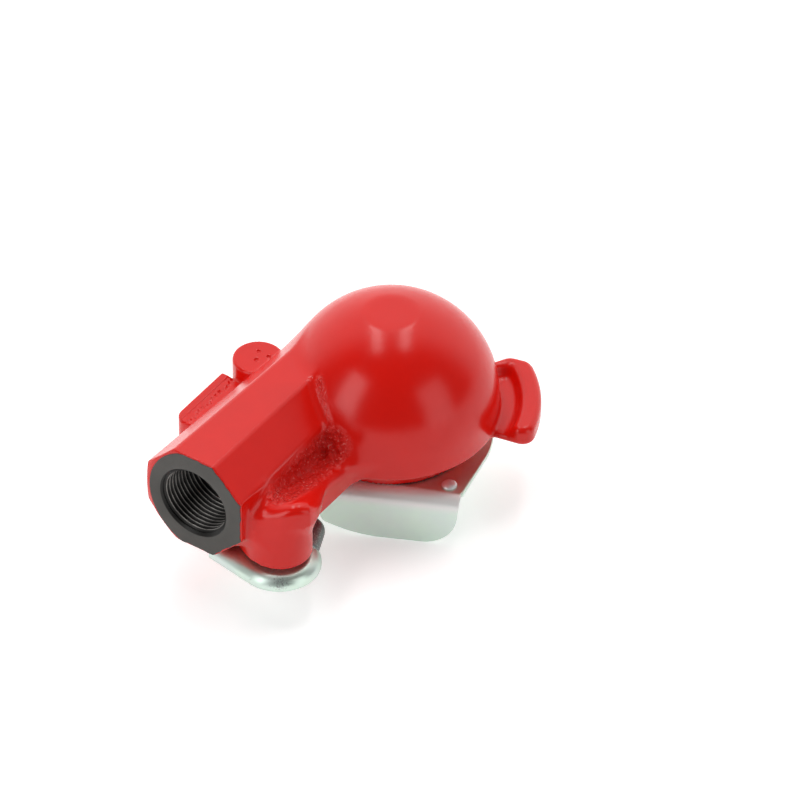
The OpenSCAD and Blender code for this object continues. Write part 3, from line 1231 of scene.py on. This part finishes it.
@dataclass
class Casting:
    """The red casting: dome, neck, boss, web, lug, shoulder, knob and claw."""

    dome: Dome = Dome()
    neck: Neck = Neck()
    boss: Boss = Boss()
    lug: Lug = Lug()
    shoulder: Shoulder = Shoulder()
    claw: Claw = Claw()
    air_way: AirWay = AirWay()
    neck_fillet: float = 3.0
    lug_fillet: float = 1.4
    shoulder_fillet: float = 1.6
    claw_fillet: float = 1.6
    hollow_edge: float = 0.3
    web_fillet: float = 3.4
    web_fillet_least: float = 0.4
    mouth_clear: Spot = (0.3, 3.5)
    boss_fillet_more: float = 6.0
    boss_fillet_run: Spot = (-52.0, -10.0)
    valley_fillet_more: float = 5.0
    valley_fillet_run: Spot = (-46.0, 16.0)
    valley_fillet_rise: Spot = (9.0, 5.0)
    rough_runs: tuple[RoughRun, ...] = (
        RoughRun((-60.5, -4.0, 20.0), (-27.0, -1.4, 17.5), 5.8, 6.8),
        RoughRun((-28.5, 0.5, 21.0), (-24.5, 8.0, 32.5), 4.0, 2.2))
    grit: Grit = field(default_factory=Grit)
    lumps: Spot = (0.34, 1.6)
    grains: Spot = (0.2, 0.9)
    grains_shift: float = 40.0
    skin_reach: float = 2.0
    net_low: Place = (-76.5, -46.0, -19.0)
    net_high: Place = (45.5, 46.5, 46.5)
    grid: float = 0.66

    def roughness(self, p: Points) -> np.ndarray:
        """How rough the cast skin is, from 0 on dressed faces to 1 in the valley beside the neck.

        Args:
            p: Points in millimetres.

        Returns:
            One share for each point.
        """
        share = np.zeros(len(p))
        for run in self.rough_runs:
            share = np.maximum(share, run.share(p))
        return ease(share)

    def web_blend(self, p: Points) -> np.ndarray:
        """Width of the fillet round boss and web: thin at the mouth, wide at the boss and in the valley.

        Args:
            p: Points in millimetres.

        Returns:
            One width for each point.
        """
        x, z = p[:, 0], p[:, 2]
        away = share_between(x, self.neck.mouth.x + self.mouth_clear[0], self.mouth_clear[1])
        near = share_between(x, *self.boss_fillet_run)
        deep = share_between(x, *self.valley_fillet_run) * share_between(z, *self.valley_fillet_rise)
        wide = self.web_fillet + self.boss_fillet_more * near + self.valley_fillet_more * deep
        return self.web_fillet_least + away * wide

    def distance(self, p: Points) -> np.ndarray:
        """Distance to the whole casting.

        Args:
            p: Points in millimetres.

        Returns:
            One distance for each point, negative inside.
        """
        d = blend_in(self.dome.distance(p), self.neck.distance(p), self.neck_fillet)
        d = blend_in(d, self.boss.distance(p), self.web_blend(p))
        d = rounded_pair(d, self.neck.mouth.x - p[:, 0], self.neck.mouth_edge)
        d = blend_in(d, self.lug.distance(p), self.lug_fillet)
        d = blend_in(d, self.shoulder.distance(p), self.shoulder_fillet)
        d = blend_in(d, self.claw.distance(p), self.claw_fillet)
        rough = np.zeros(len(p))
        close = np.abs(d) < self.skin_reach
        skin = p[close]
        lumps = self.lumps[0] * self.grit(skin, self.lumps[1])
        grains = self.grains[0] * self.grit(skin + self.grains_shift, self.grains[1])
        rough[close] = self.roughness(skin) * (lumps + grains)
        return trim(d + rough, -self.air_way.distance(p), self.hollow_edge)

    def build(self) -> list[bpy.types.Object]:
        """Skin the casting.

        Returns:
            The casting's object, which stands for the CAD body.
        """
        net = SkinNet(self.net_low, self.net_high, self.grid)
        verts, quads, normals = net.skin(self.distance)
        obj = make_piece("casting", verts, quads, "head", normals)
        mark_skin(obj, "rough_share", self.roughness(verts))
        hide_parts("body")
        return [obj]

    def dress(self, objs: list[bpy.types.Object], finishes: Finishes) -> None:
        """Paint the casting."""
        wear(objs[0], finishes.paint)


@dataclass
class ThreadedPort:
    """The bare turned mouth of the neck with its helical thread."""

    mouth: Mouth = Mouth()
    major_r: float = 11.0
    minor_r: float = 10.19
    pitch: float = 1.5
    lead_r: float = 11.5
    # Share of painted groove shade on the lead-in.
    lead_in_shade: float = 0.42
    run_out: float = 2.0
    tooth_steep: float = 2.6
    tooth_flat: float = 0.25
    rim: float = 0.38
    rim_gap: float = 0.05
    rim_waves: tuple[tuple[int, float, float], ...] = ((9, 0.10, 0.0), (23, 0.08, 1.0), (41, 0.06, 2.0))
    proud: float = 0.04
    end_wall: float = 0.5
    passage_gap: float = 0.05
    steps: int = 180
    per_pitch: int = 12
    sharp: float = 34.0

    def outer(self, turn: np.ndarray) -> np.ndarray:
        """Radius of the bare face at each angle, where turned circle and flats meet.

        Args:
            turn: Angles about the port's axis, from +Y towards +Z.

        Returns:
            One radius for each angle.
        """
        flats = np.full(turn.shape, 1e9)
        for k in range(8):
            c = np.cos(turn - k * math.pi / 4)
            flats = np.minimum(flats, np.where(c > 0.3, self.mouth.half / np.maximum(c, 0.3), 1e9))
        side, ahead = self.mouth.face_off * np.sin(turn), self.mouth.face_off * np.cos(turn)
        circle = np.sqrt(self.mouth.face_r ** 2 - side ** 2) - ahead
        ragged = sum(size * np.sin(count * turn + start) for count, size, start in self.rim_waves)
        return np.minimum(flats - self.rim + ragged, circle - self.rim_gap)

    def thread_row(self, s: float, turn: np.ndarray) -> tuple[np.ndarray, np.ndarray, np.ndarray]:
        """One ring of the thread, with its lead-in and run-out.

        Args:
            s: Depth behind the mouth.
            turn: Angles about the port's axis.

        Returns:
            Radius, share of painted groove shade and share of painted crest highlight at each angle.
        """
        phase = (s / self.pitch + turn / (2 * math.pi)) % 1.0
        tooth = np.clip(np.abs(phase - 0.5) * self.tooth_steep - self.tooth_flat, 0.0, 1.0)
        r = self.major_r + (self.minor_r - self.major_r) * tooth
        fade = np.clip((self.mouth.depth - s) / self.run_out, 0.0, 1.0)
        r = self.minor_r + (r - self.minor_r) * fade
        lead = self.lead_r - s > r
        r = np.maximum(r, self.lead_r - s)
        cut = (r - self.minor_r) / (self.major_r - self.minor_r)
        # The lead-in and the grooves are marked for painted shade, the crests for a painted highlight.
        groove_shade = np.where(lead, self.lead_in_shade, cut)
        crest_highlight = np.where(lead, 0.0, np.clip(1.0 - 3.0 * cut, 0.0, 1.0))
        return r, groove_shade, crest_highlight

    def sleeve_rows(self, turn: np.ndarray) -> list[tuple[float, np.ndarray]]:
        """Rings of the face and of the sleeve behind it, from the lead-in round to the thread's end.

        Args:
            turn: Angles about the port's axis.

        Returns:
            Depth and radii of each ring.
        """
        one = np.ones(len(turn))
        out = self.outer(turn)
        end = self.mouth.depth + self.end_wall
        inner = (self.mouth.passage_r + self.passage_gap) * one
        rows = [(-self.proud, self.lead_r + (out - self.lead_r) * f) for f in (0.04, 0.35, 0.7, 1.0)]
        rows += [(0.25, out + 0.02), (0.8, out - 0.4)]
        rows += [(1.0, self.mouth.sleeve_r * one), (end, self.mouth.sleeve_r * one)]
        rows += [(end, inner), (self.mouth.depth + 0.02, inner)]
        return rows

    def build(self) -> list[bpy.types.Object]:
        """Make the closed sleeve with its face, lead-in and thread.

        Returns:
            The sleeve's object.
        """
        turn = np.linspace(0, 2 * math.pi, self.steps, endpoint=False)
        count = int(self.mouth.depth / self.pitch * self.per_pitch)
        depths = [self.mouth.depth * j / count for j in range(count, -1, -1)]
        thread = [self.thread_row(s, turn) for s in depths]
        rings = [(s, row[0]) for s, row in zip(depths, thread)] + self.sleeve_rows(turn)
        y, z = self.mouth.axis
        verts = np.concatenate([np.stack([
            np.full(self.steps, self.mouth.x + s), y + r * np.cos(turn), z + r * np.sin(turn)], -1)
            for s, r in rings])
        n, m = len(rings), self.steps
        i, j = np.meshgrid(np.arange(n), np.arange(m), indexing="ij")
        a, b = i * m, ((i + 1) % n) * m
        k = (j + 1) % m
        quads = np.stack([a + j, a + k, b + k, b + j], -1).reshape(-1, 4)
        obj = make_piece("threaded_port", verts, quads, "head")
        obj.data.set_sharp_from_angle(angle=math.radians(self.sharp))
        for column, label in ((1, "groove_shade"), (2, "crest_highlight")):
            shares = np.zeros(len(verts))
            shares[:len(thread) * m] = np.clip(np.concatenate([row[column] for row in thread]), 0.0, 1.0)
            mark_skin(obj, label, shares)
        return [obj]

    def dress(self, objs: list[bpy.types.Object], finishes: Finishes) -> None:
        """Leave the port bare iron."""
        wear(objs[0], finishes.iron)


@dataclass
class DustCover:
    """The pressed sheet cover that swings on the boss."""

    sheet: float = 1.5
    top: float = -0.3
    bend_r: float = 3.6
    bend_lap: float = 1.2
    edge_round: float = 0.4
    end_round: float = 0.05
    disc_r: float = 29.8
    disc_edge_turn: float = 279.3
    tail_r: float = 12.2
    rim_h: float = 4.4
    tail_turn: float = 170.4
    tail_end: float = 318.0
    tail_edge: float = 16.5
    tail_lap: float = 0.6
    arm_far: Spot = (-9.0, 28.2)
    arm_near_y: float = 4.4
    arm_root: Spot = (3.0, 0.3)
    ear: Spot = (-46.5, -2.9)
    ear_r: float = 5.0
    ear_turn: float = -67.5
    ear_end: float = 20.0
    ear_edge: float = 8.5
    ear_back: float = 1.5
    grip_dist: float = 27.5
    grip_turn: float = 205.2
    grip_h: float = 17.1
    grip_h_end: float = 11.0
    grip_out: float = 23.7
    grip_in: float = 16.5
    grip_flare: float = 1.2
    grip_round: float = 10.5
    grip_up: float = 2.0
    belly_r: float = 40.0
    belly_s: float = 2.0
    belly_turn: float = 26.0
    relief: float = 0.7
    relief_out: float = 13.0
    pin_hole: float = 4.06
    rivet_hole: float = 1.5
    # A darker patch on the tail's rim.
    dark_patch: Place = (-71.8, -10.6, -1.6)
    dark_patch_r: float = 5.0
    dark_patch_depth: float = 0.43
    # Painted shade on the ear's rim.
    ear_shade: float = 0.58
    ear_shade_reach: float = 0.5
    # Where the painted highlight lies along the grip's bend.
    bend_highlight_from: float = 3.2
    bend_highlight_to: float = 6.4
    bend_highlight_tilt: float = 0.07
    bend_highlight_run: float = 0.9
    bend_highlight_lap: float = 0.6
    far_off: float = 9.0
    net_low: Place = (-76.5, -36.5, -19.0)
    net_high: Place = (31.5, 31.5, 0.6)
    grid: float = 0.4

    @staticmethod
    def along(x: np.ndarray, y: np.ndarray, turn: float) -> tuple[np.ndarray, np.ndarray]:
        """Coordinates along a direction and to its left."""
        c, s = math.cos(math.radians(turn)), math.sin(math.radians(turn))
        return x * c + y * s, y * c - x * s

    @staticmethod
    def in_arc(x: np.ndarray, y: np.ndarray, start: float, end: float) -> np.ndarray:
        """Which points lie between two directions, counted anticlockwise."""
        turn = (np.degrees(np.arctan2(y, x)) - start) % 360.0
        return turn <= end - start

    def grip_point(self, a: float, s: float) -> Spot:
        """Point at distance a along the grip's facing and s along its bend."""
        t = math.radians(self.grip_turn)
        return a * math.cos(t) - s * math.sin(t), a * math.sin(t) + s * math.cos(t)

    def outlines(self) -> tuple[list[Spot], list[Spot]]:
        """Corners of the flat sheet beside the disc, up to where its edges bend.

        Returns:
            The part that carries the grip, and the arm to the pivot.
        """
        flat = self.grip_dist - self.bend_r
        tail_in, ear_in = self.tail_r - self.bend_r, self.ear_r - self.bend_r
        e, t = math.radians(self.disc_edge_turn), math.radians(self.tail_turn)
        head = [(0.0, 0.0), self.grip_point(flat, -self.grip_in),
                self.grip_point(flat, self.grip_out + self.grip_flare),
                (self.disc_r * math.cos(e), self.disc_r * math.sin(e))]
        start = (PIVOT[0] + tail_in * math.cos(t), PIVOT[1] + tail_in * math.sin(t))
        run = self.tail_edge + self.tail_lap
        arm = [self.grip_point(flat - self.arm_root[0], -self.grip_in - self.arm_root[1]),
               (self.ear[0] + ear_in, self.arm_near_y), (self.ear[0] + ear_in, self.ear[1]), PIVOT, start,
               (start[0] + run * math.sin(t), start[1] - run * math.cos(t)), self.arm_far, (0.0, 0.0)]
        return head, arm

    def plan(self, x: np.ndarray, y: np.ndarray) -> np.ndarray:
        """Distance to the flat part seen from above.

        Args:
            x: First coordinates.
            y: Second coordinates.

        Returns:
            One distance for each point, negative inside.
        """
        flat = self.grip_dist - self.bend_r
        tail_in, ear_in = self.tail_r - self.bend_r, self.ear_r - self.bend_r
        d = np.hypot(x, y) - self.disc_r
        for outline in self.outlines():
            d = np.minimum(d, polygon_field(x, y, outline))
        d = np.minimum(d, np.hypot(x - PIVOT[0], y - PIVOT[1]) - tail_in)
        d = np.minimum(d, np.hypot(x - self.ear[0], y - self.ear[1]) - ear_in)
        a, s = self.along(x - self.ear[0], y - self.ear[1], self.ear_turn)
        band = np.maximum(a - ear_in, -self.ear_r - self.ear_back - a)
        d = np.minimum(d, np.maximum(band, np.maximum(s, -self.ear_edge - s)))
        a, s = self.along(x, y, self.grip_turn)
        cut = np.maximum(flat - a, -self.grip_in - self.relief - s)
        return np.maximum(d, -np.maximum(cut, a - flat - self.relief_out))

    def rim(self, r: np.ndarray, z: np.ndarray, out: float) -> np.ndarray:
        """Distance to the section of a turned-down edge.

        Args:
            r: Distance outward.
            z: Height over the sheet's upper face.
            out: Where the rim's outer face stands.

        Returns:
            One distance for each point.
        """
        half, mid = self.sheet / 2, self.bend_r - self.sheet / 2
        u, v = r - (out - self.bend_r), z + self.bend_r
        bend = np.abs(np.hypot(u, np.maximum(v, 0.0)) - mid) - half
        low = rounded_pair(bend, -self.rim_h - z, self.edge_round)
        return np.maximum(low, -u - self.bend_lap)

    def tail_rim(self, x: np.ndarray, y: np.ndarray, z: np.ndarray) -> np.ndarray:
        """Distance to the turned-down edge round the pivot.

        Args:
            x: First coordinates.
            y: Second coordinates.
            z: Heights over the sheet's upper face.

        Returns:
            One distance for each point.
        """
        dx, dy = x - PIVOT[0], y - PIVOT[1]
        a, s = self.along(dx, dy, self.tail_turn)
        arc = self.rim(np.hypot(dx, dy), z, self.tail_r)
        arc = np.where(self.in_arc(dx, dy, self.tail_turn, self.tail_end), arc, self.far_off)
        ends = np.maximum(-s - self.tail_edge, s)
        return np.minimum(arc, rounded_pair(self.rim(a, z, self.tail_r), ends, self.end_round))

    def ear_rim(self, x: np.ndarray, y: np.ndarray, z: np.ndarray) -> np.ndarray:
        """Distance to the turned-down edge between tail and disc.

        Args:
            x: First coordinates.
            y: Second coordinates.
            z: Heights over the sheet's upper face.

        Returns:
            One distance for each point.
        """
        ex, ey = x - self.ear[0], y - self.ear[1]
        a, s = self.along(ex, ey, self.ear_turn)
        arc = self.rim(np.hypot(ex, ey), z, self.ear_r)
        arc = np.where(self.in_arc(ex, ey, self.ear_turn, self.ear_end), arc, self.far_off)
        ends = np.maximum(-self.ear_edge - s, s)
        return np.minimum(arc, rounded_pair(self.rim(a, z, self.ear_r), ends, self.end_round))

    def grip(self, a: np.ndarray, s: np.ndarray, z: np.ndarray) -> np.ndarray:
        """Distance to the deep grip flange with its bend.

        Args:
            a: Distances along the grip's facing.
            s: Distances along its bend.
            z: Heights over the sheet's upper face.

        Returns:
            One distance for each point.
        """
        half, flat = self.sheet / 2, self.grip_dist - self.bend_r
        outline: list[Spot] = [(-self.grip_in, self.grip_up), (-self.grip_in, -self.grip_h_end)]
        for t in np.radians(np.linspace(270.0 - self.belly_turn, 270.0, 9)):
            outline.append((self.belly_s + self.belly_r * math.cos(t),
                            -self.grip_h + self.belly_r + self.belly_r * math.sin(t)))
        for t in np.radians(np.linspace(270.0, 360.0, 11)):
            outline.append((self.grip_out - self.grip_round + self.grip_round * math.cos(t),
                            -self.grip_h + self.grip_round + self.grip_round * math.sin(t)))
        outline.append((self.grip_out + self.grip_flare, self.grip_up))
        face = polygon_field(s, z, outline)
        skin = np.abs(np.hypot(a - flat, np.maximum(z + self.bend_r, 0.0)) - self.bend_r + half) - half
        return np.maximum(rounded_pair(skin, face, self.edge_round), flat - self.bend_lap - a)

    def distance(self, p: Points) -> np.ndarray:
        """Distance to the cover.

        Args:
            p: Points in millimetres.

        Returns:
            One distance for each point, negative inside.
        """
        x, y = p[:, 0], p[:, 1]
        z = p[:, 2] - self.top
        half = self.sheet / 2
        d = rounded_pair(self.plan(x, y), np.abs(z + half) - half, self.edge_round)
        d = np.minimum(d, self.tail_rim(x, y, z))
        d = np.minimum(d, self.ear_rim(x, y, z))
        a, s = self.along(x, y, self.grip_turn)
        d = np.minimum(d, self.grip(a, s, z))
        hole = np.minimum(np.hypot(x - PIVOT[0], y - PIVOT[1]) - self.pin_hole,
                          np.hypot(x - RIVET[0], y - RIVET[1]) - self.rivet_hole)
        return np.maximum(d, -hole)

    def shade_and_patch_share(self, p: Points) -> np.ndarray:
        """How dark the plating is painted, from 0 to 1: painted shade on the ear's rim and a darker patch on
        the tail's rim.

        Args:
            p: Points in millimetres.

        Returns:
            One share for each point.
        """
        x, y, z = p.T
        reach = self.ear_shade_reach
        # Painted shade on the ear's rim.
        ear = np.clip((reach - self.ear_rim(x, y, z - self.top)) / reach, 0.0, 1.0)
        # A darker patch on the tail's rim.
        dark_patch = np.clip(1.0 - np.linalg.norm(p - np.array(self.dark_patch), axis=1) / self.dark_patch_r, 0.0, 1.0)
        return np.maximum(self.ear_shade * ear, self.dark_patch_depth * np.sqrt(dark_patch))

    def bend_highlight_share(self, p: Points) -> np.ndarray:
        """How strong the painted highlight is where the grip is bent down, from 0 to 1.

        Args:
            p: Points in millimetres.

        Returns:
            One share for each point.
        """
        a, s = self.along(p[:, 0], p[:, 1], self.grip_turn)
        start = self.grip_dist - self.bend_r - self.bend_highlight_tilt * (self.grip_out - s)
        begun = share_between(a, start, self.bend_highlight_run)
        left = share_between(self.top - p[:, 2], self.bend_highlight_to, self.bend_highlight_from - self.bend_highlight_to)
        on_grip = (s > -self.grip_in - self.bend_highlight_lap) & (a < self.grip_dist + self.bend_highlight_lap)
        return np.where(on_grip, begun * left * left, 0.0)

    def build(self) -> list[bpy.types.Object]:
        """Skin the cover.

        Returns:
            The cover's object, which stands for the CAD cover.
        """
        net = SkinNet(self.net_low, self.net_high, self.grid)
        verts, quads, normals = net.skin(self.distance)
        obj = make_piece("plated_cover", verts, quads, "cover", normals)
        mark_skin(obj, "shade_and_patch", self.shade_and_patch_share(verts))
        mark_skin(obj, "bend_highlight", self.bend_highlight_share(verts))
        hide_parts("dust_cover")
        return [obj]

    def dress(self, objs: list[bpy.types.Object], finishes: Finishes) -> None:
        """Plate the cover."""
        wear(objs[0], finishes.zinc)


@dataclass
class SmallTurnings:
    """The turned small pieces: sealing ring, stop rivet and pivot pin, each by its section's corners."""

    steps: int = 96
    rivet_steps: int = 48
    sharp: float = 32.0
    seal_section: Profile = (
        (11.0, 0.6, 0.3), (11.6, 0.0, 0.4), (13.0, 0.0, 0.3), (13.4, 0.35, 0.2), (13.8, 0.0, 0.3),
        (15.6, 0.0, 0.5), (16.4, 1.4, 0.5), (20.0, 1.4, 0.4), (20.0, 8.3, 0.3), (12.5, 8.3, 0.8),
        (11.0, 6.8, 0.8))
    rivet_section: Profile = (
        (0.02, 0.8, 0.0), (0.9, 0.76, 0.3), (1.75, 0.5, 0.6), (2.25, 0.05, 0.3), (2.2, -0.28, 0.1),
        (1.48, -0.28, 0.0), (1.48, -1.82, 0.0), (2.2, -1.82, 0.1), (2.0, -2.5, 0.5), (0.02, -2.7, 0.0))
    pin_section: Profile = (
        (0.02, -4.3, 0.0), (6.4, -4.3, 0.5), (7.0, -3.8, 0.4), (7.0, -2.1, 0.2), (4.0, -2.1, 0.05),
        (4.0, 9.0, 0.3), (0.02, 9.0, 0.0))

    def seal(self) -> bpy.types.Object:
        """Make the sealing ring with its lip and groove.

        Returns:
            The ring's object.
        """
        verts, faces = lathe(soft_profile(self.seal_section), self.steps, (0.0, 0.0))
        obj = make_piece("rubber_ring", verts, faces, "head")
        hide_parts("seal_ring")
        return obj

    def stop(self) -> bpy.types.Object:
        """Make the stop rivet with its pressed head.

        Returns:
            The rivet's object.
        """
        verts, faces = lathe(soft_profile(self.rivet_section), self.rivet_steps, RIVET)
        obj = make_piece("rivet", verts, faces, "cover")
        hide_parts("stop_rivet")
        return obj

    def pin(self) -> bpy.types.Object:
        """Make the pivot pin with its broad head.

        Returns:
            The pin's object.
        """
        verts, faces = lathe(soft_profile(self.pin_section), self.steps, PIVOT)
        obj = make_piece("swing_pin", verts, faces, "head")
        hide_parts("pivot_pin")
        return obj

    def build(self) -> list[bpy.types.Object]:
        """Make the ring, the rivet and the pin."""
        return [self.seal(), self.stop(), self.pin()]

    def dress(self, objs: list[bpy.types.Object], finishes: Finishes) -> None:
        """Give each piece its finish and its sharp edges.

        Args:
            objs: The ring, the rivet and the pin.
            finishes: The finishes to choose from.
        """
        for obj, mat in zip(objs, (finishes.rubber, finishes.rivet, finishes.pin)):
            obj.data.set_sharp_from_angle(angle=math.radians(self.sharp))
            wear(obj, mat)


# Studio

class Hang(Enum):
    """Which way the length of a soft box runs."""

    UPRIGHT = "upright"
    AWAY = "away from the camera"


@dataclass(frozen=True)
class SoftBox:
    """One soft box, aimed at the head.

    Its place is along the view's right, away and up, in millimetres from the head, its size is width
    and length in millimetres, and a glow of 1 looks white.
    """

    name: str
    place: Place
    size: Spot
    glow: float
    hang: Hang = Hang.UPRIGHT


@dataclass
class Studio:
    """Floor, light and camera at the photograph's angle."""

    elevation: float = 40.5
    heading: float = 55.5
    mm_per_px: float = 0.29
    picture_px: int = 800
    offset_px: Spot = (8.94, 30.4)
    distance: float = 3000.0
    sensor: float = 36.0
    clip_end: float = 100.0
    floor_z: float = -17.45
    floor_half: float = 6000.0
    floor_tone: Tone = (0.93, 0.93, 0.93)
    floor_glow: float = 0.43
    front_glow: float = 0.10
    back_glow: float = 1.2
    back_from: float = 0.0
    back_to: float = 0.55
    back_up: float = 0.1
    boxes: tuple[SoftBox, ...] = (
        SoftBox("left_strip", (-215, 235, 950), (140, 680), 5.0, Hang.AWAY),
        SoftBox("right_strip", (215, 285, 950), (126, 680), 5.0, Hang.AWAY),
        SoftBox("left_box", (-520, -430, 330), (300, 620), 2.85),
        SoftBox("right_box", (590, -470, 230), (420, 640), 1.55))

    def axes(self) -> tuple[Vector, Vector, Vector]:
        """Directions of the view.

        Returns:
            Right, up and forward.
        """
        e, h = math.radians(self.elevation), math.radians(self.heading)
        right = Vector((math.cos(h), -math.sin(h), 0.0))
        away = Vector((math.sin(h), math.cos(h), 0.0))
        up = Vector((0, 0, 1)) * math.cos(e) + away * math.sin(e)
        forward = away * math.cos(e) - Vector((0, 0, 1)) * math.sin(e)
        return right, up, forward

    def level_away(self) -> Vector:
        """Level direction away from the camera."""
        forward = self.axes()[2]
        return Vector((forward.x, forward.y, 0)).normalized()

    def camera(self) -> None:
        """Place the camera so that the head fills the picture as in the photograph."""
        right, up, forward = self.axes()
        aim = right * (self.offset_px[0] * self.mm_per_px) + up * (self.offset_px[1] * self.mm_per_px)
        data = bpy.data.cameras.new("camera")
        data.sensor_width = self.sensor
        data.lens = self.sensor * self.distance / (self.picture_px * self.mm_per_px)
        data.clip_end = self.clip_end
        cam = bpy.data.objects.new("camera", data)
        bpy.context.scene.collection.objects.link(cam)
        turn = Matrix((right, up, -forward)).transposed().to_4x4()
        cam.matrix_world = Matrix.Translation((aim - forward * self.distance) * MM) @ turn
        bpy.context.scene.camera = cam

    def floor(self) -> None:
        """Lay the pale floor, which shows white to the camera and keeps the shadow."""
        mesh = bpy.data.meshes.new("floor")
        r, z = self.floor_half * MM, self.floor_z * MM
        mesh.from_pydata([(-r, -r, z), (r, -r, z), (r, r, z), (-r, r, z)], [], [(0, 1, 2, 3)])
        obj = bpy.data.objects.new("floor", mesh)
        bpy.context.scene.collection.objects.link(obj)
        mat = bpy.data.materials.new("pale_floor")
        mat.use_nodes = True
        shader = mat.node_tree.nodes["Principled BSDF"]
        shader.inputs["Base Color"].default_value = (*self.floor_tone, 1)
        shader.inputs["Roughness"].default_value = 0.8
        shader.inputs["Specular IOR Level"].default_value = 0.1
        shader.inputs["Emission Color"].default_value = (1, 1, 1, 1)
        s = Sheet(mat.node_tree)
        ray = s.add("ShaderNodeLightPath").outputs
        seen = s.math("ADD", ray["Is Camera Ray"], ray["Is Glossy Ray"], clamp=True)
        s.join(s.math("MULTIPLY", seen, self.floor_glow), shader.inputs["Emission Strength"])
        wear(obj, mat)

    def lamp(self, box: SoftBox) -> None:
        """Hang one soft box.

        Args:
            box: The soft box.
        """
        right, away = self.axes()[0], self.level_away()
        spot = right * box.place[0] + away * box.place[1] + Vector((0, 0, box.place[2]))
        back = spot.normalized()
        length = away if box.hang is Hang.AWAY else Vector((0, 0, 1))
        length = (length - back * length.dot(back)).normalized()
        turn = Matrix((length.cross(back), length, back)).transposed().to_4x4()
        data = bpy.data.lights.new(box.name, "AREA")
        data.shape = "RECTANGLE"
        data.size, data.size_y = box.size[0] * MM, box.size[1] * MM
        data.energy = box.glow * math.pi * data.size * data.size_y
        obj = bpy.data.objects.new(box.name, data)
        obj.matrix_world = Matrix.Translation(spot * MM) @ turn
        bpy.context.scene.collection.objects.link(obj)

    def surroundings(self) -> None:
        """Set the pale surroundings, brightest behind the head."""
        world = bpy.data.worlds.new("surroundings")
        world.use_nodes = True
        s = Sheet(world.node_tree)
        bright = self.level_away() + Vector((0, 0, self.back_up))
        where = s.add("ShaderNodeTexCoord").outputs["Generated"]
        side = s.add("ShaderNodeVectorMath", operation="DOT_PRODUCT", in_0=where, in_1=bright)
        level = s.add("ShaderNodeMapRange", interpolation_type="SMOOTHSTEP", in_0=side.outputs["Value"],
                      in_1=self.back_from, in_2=self.back_to, in_3=self.front_glow, in_4=self.back_glow)
        background = world.node_tree.nodes["Background"]
        background.inputs["Color"].default_value = (1, 1, 1, 1)
        s.join(level.outputs[0], background.inputs["Strength"])
        bpy.context.scene.world = world

    def build(self) -> None:
        """Set up the whole studio."""
        self.camera()
        self.floor()
        for box in self.boxes:
            self.lamp(box)
        self.surroundings()
        bpy.context.scene.view_settings.view_transform = "Standard"


def main() -> None:
    """Build and dress every piece, set up the studio and note the sizes."""
    logging.basicConfig(level=logging.INFO, format="%(message)s")
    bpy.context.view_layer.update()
    finishes = Finishes()
    for part in (Casting(), ThreadedPort(), DustCover(), SmallTurnings()):
        made = part.build()
        part.dress(made, finishes)
        for obj in made:
            log.info("%s: %d faces", obj.name, len(obj.data.polygons))
    Studio().build()


if __name__ == "__main__":
    main()
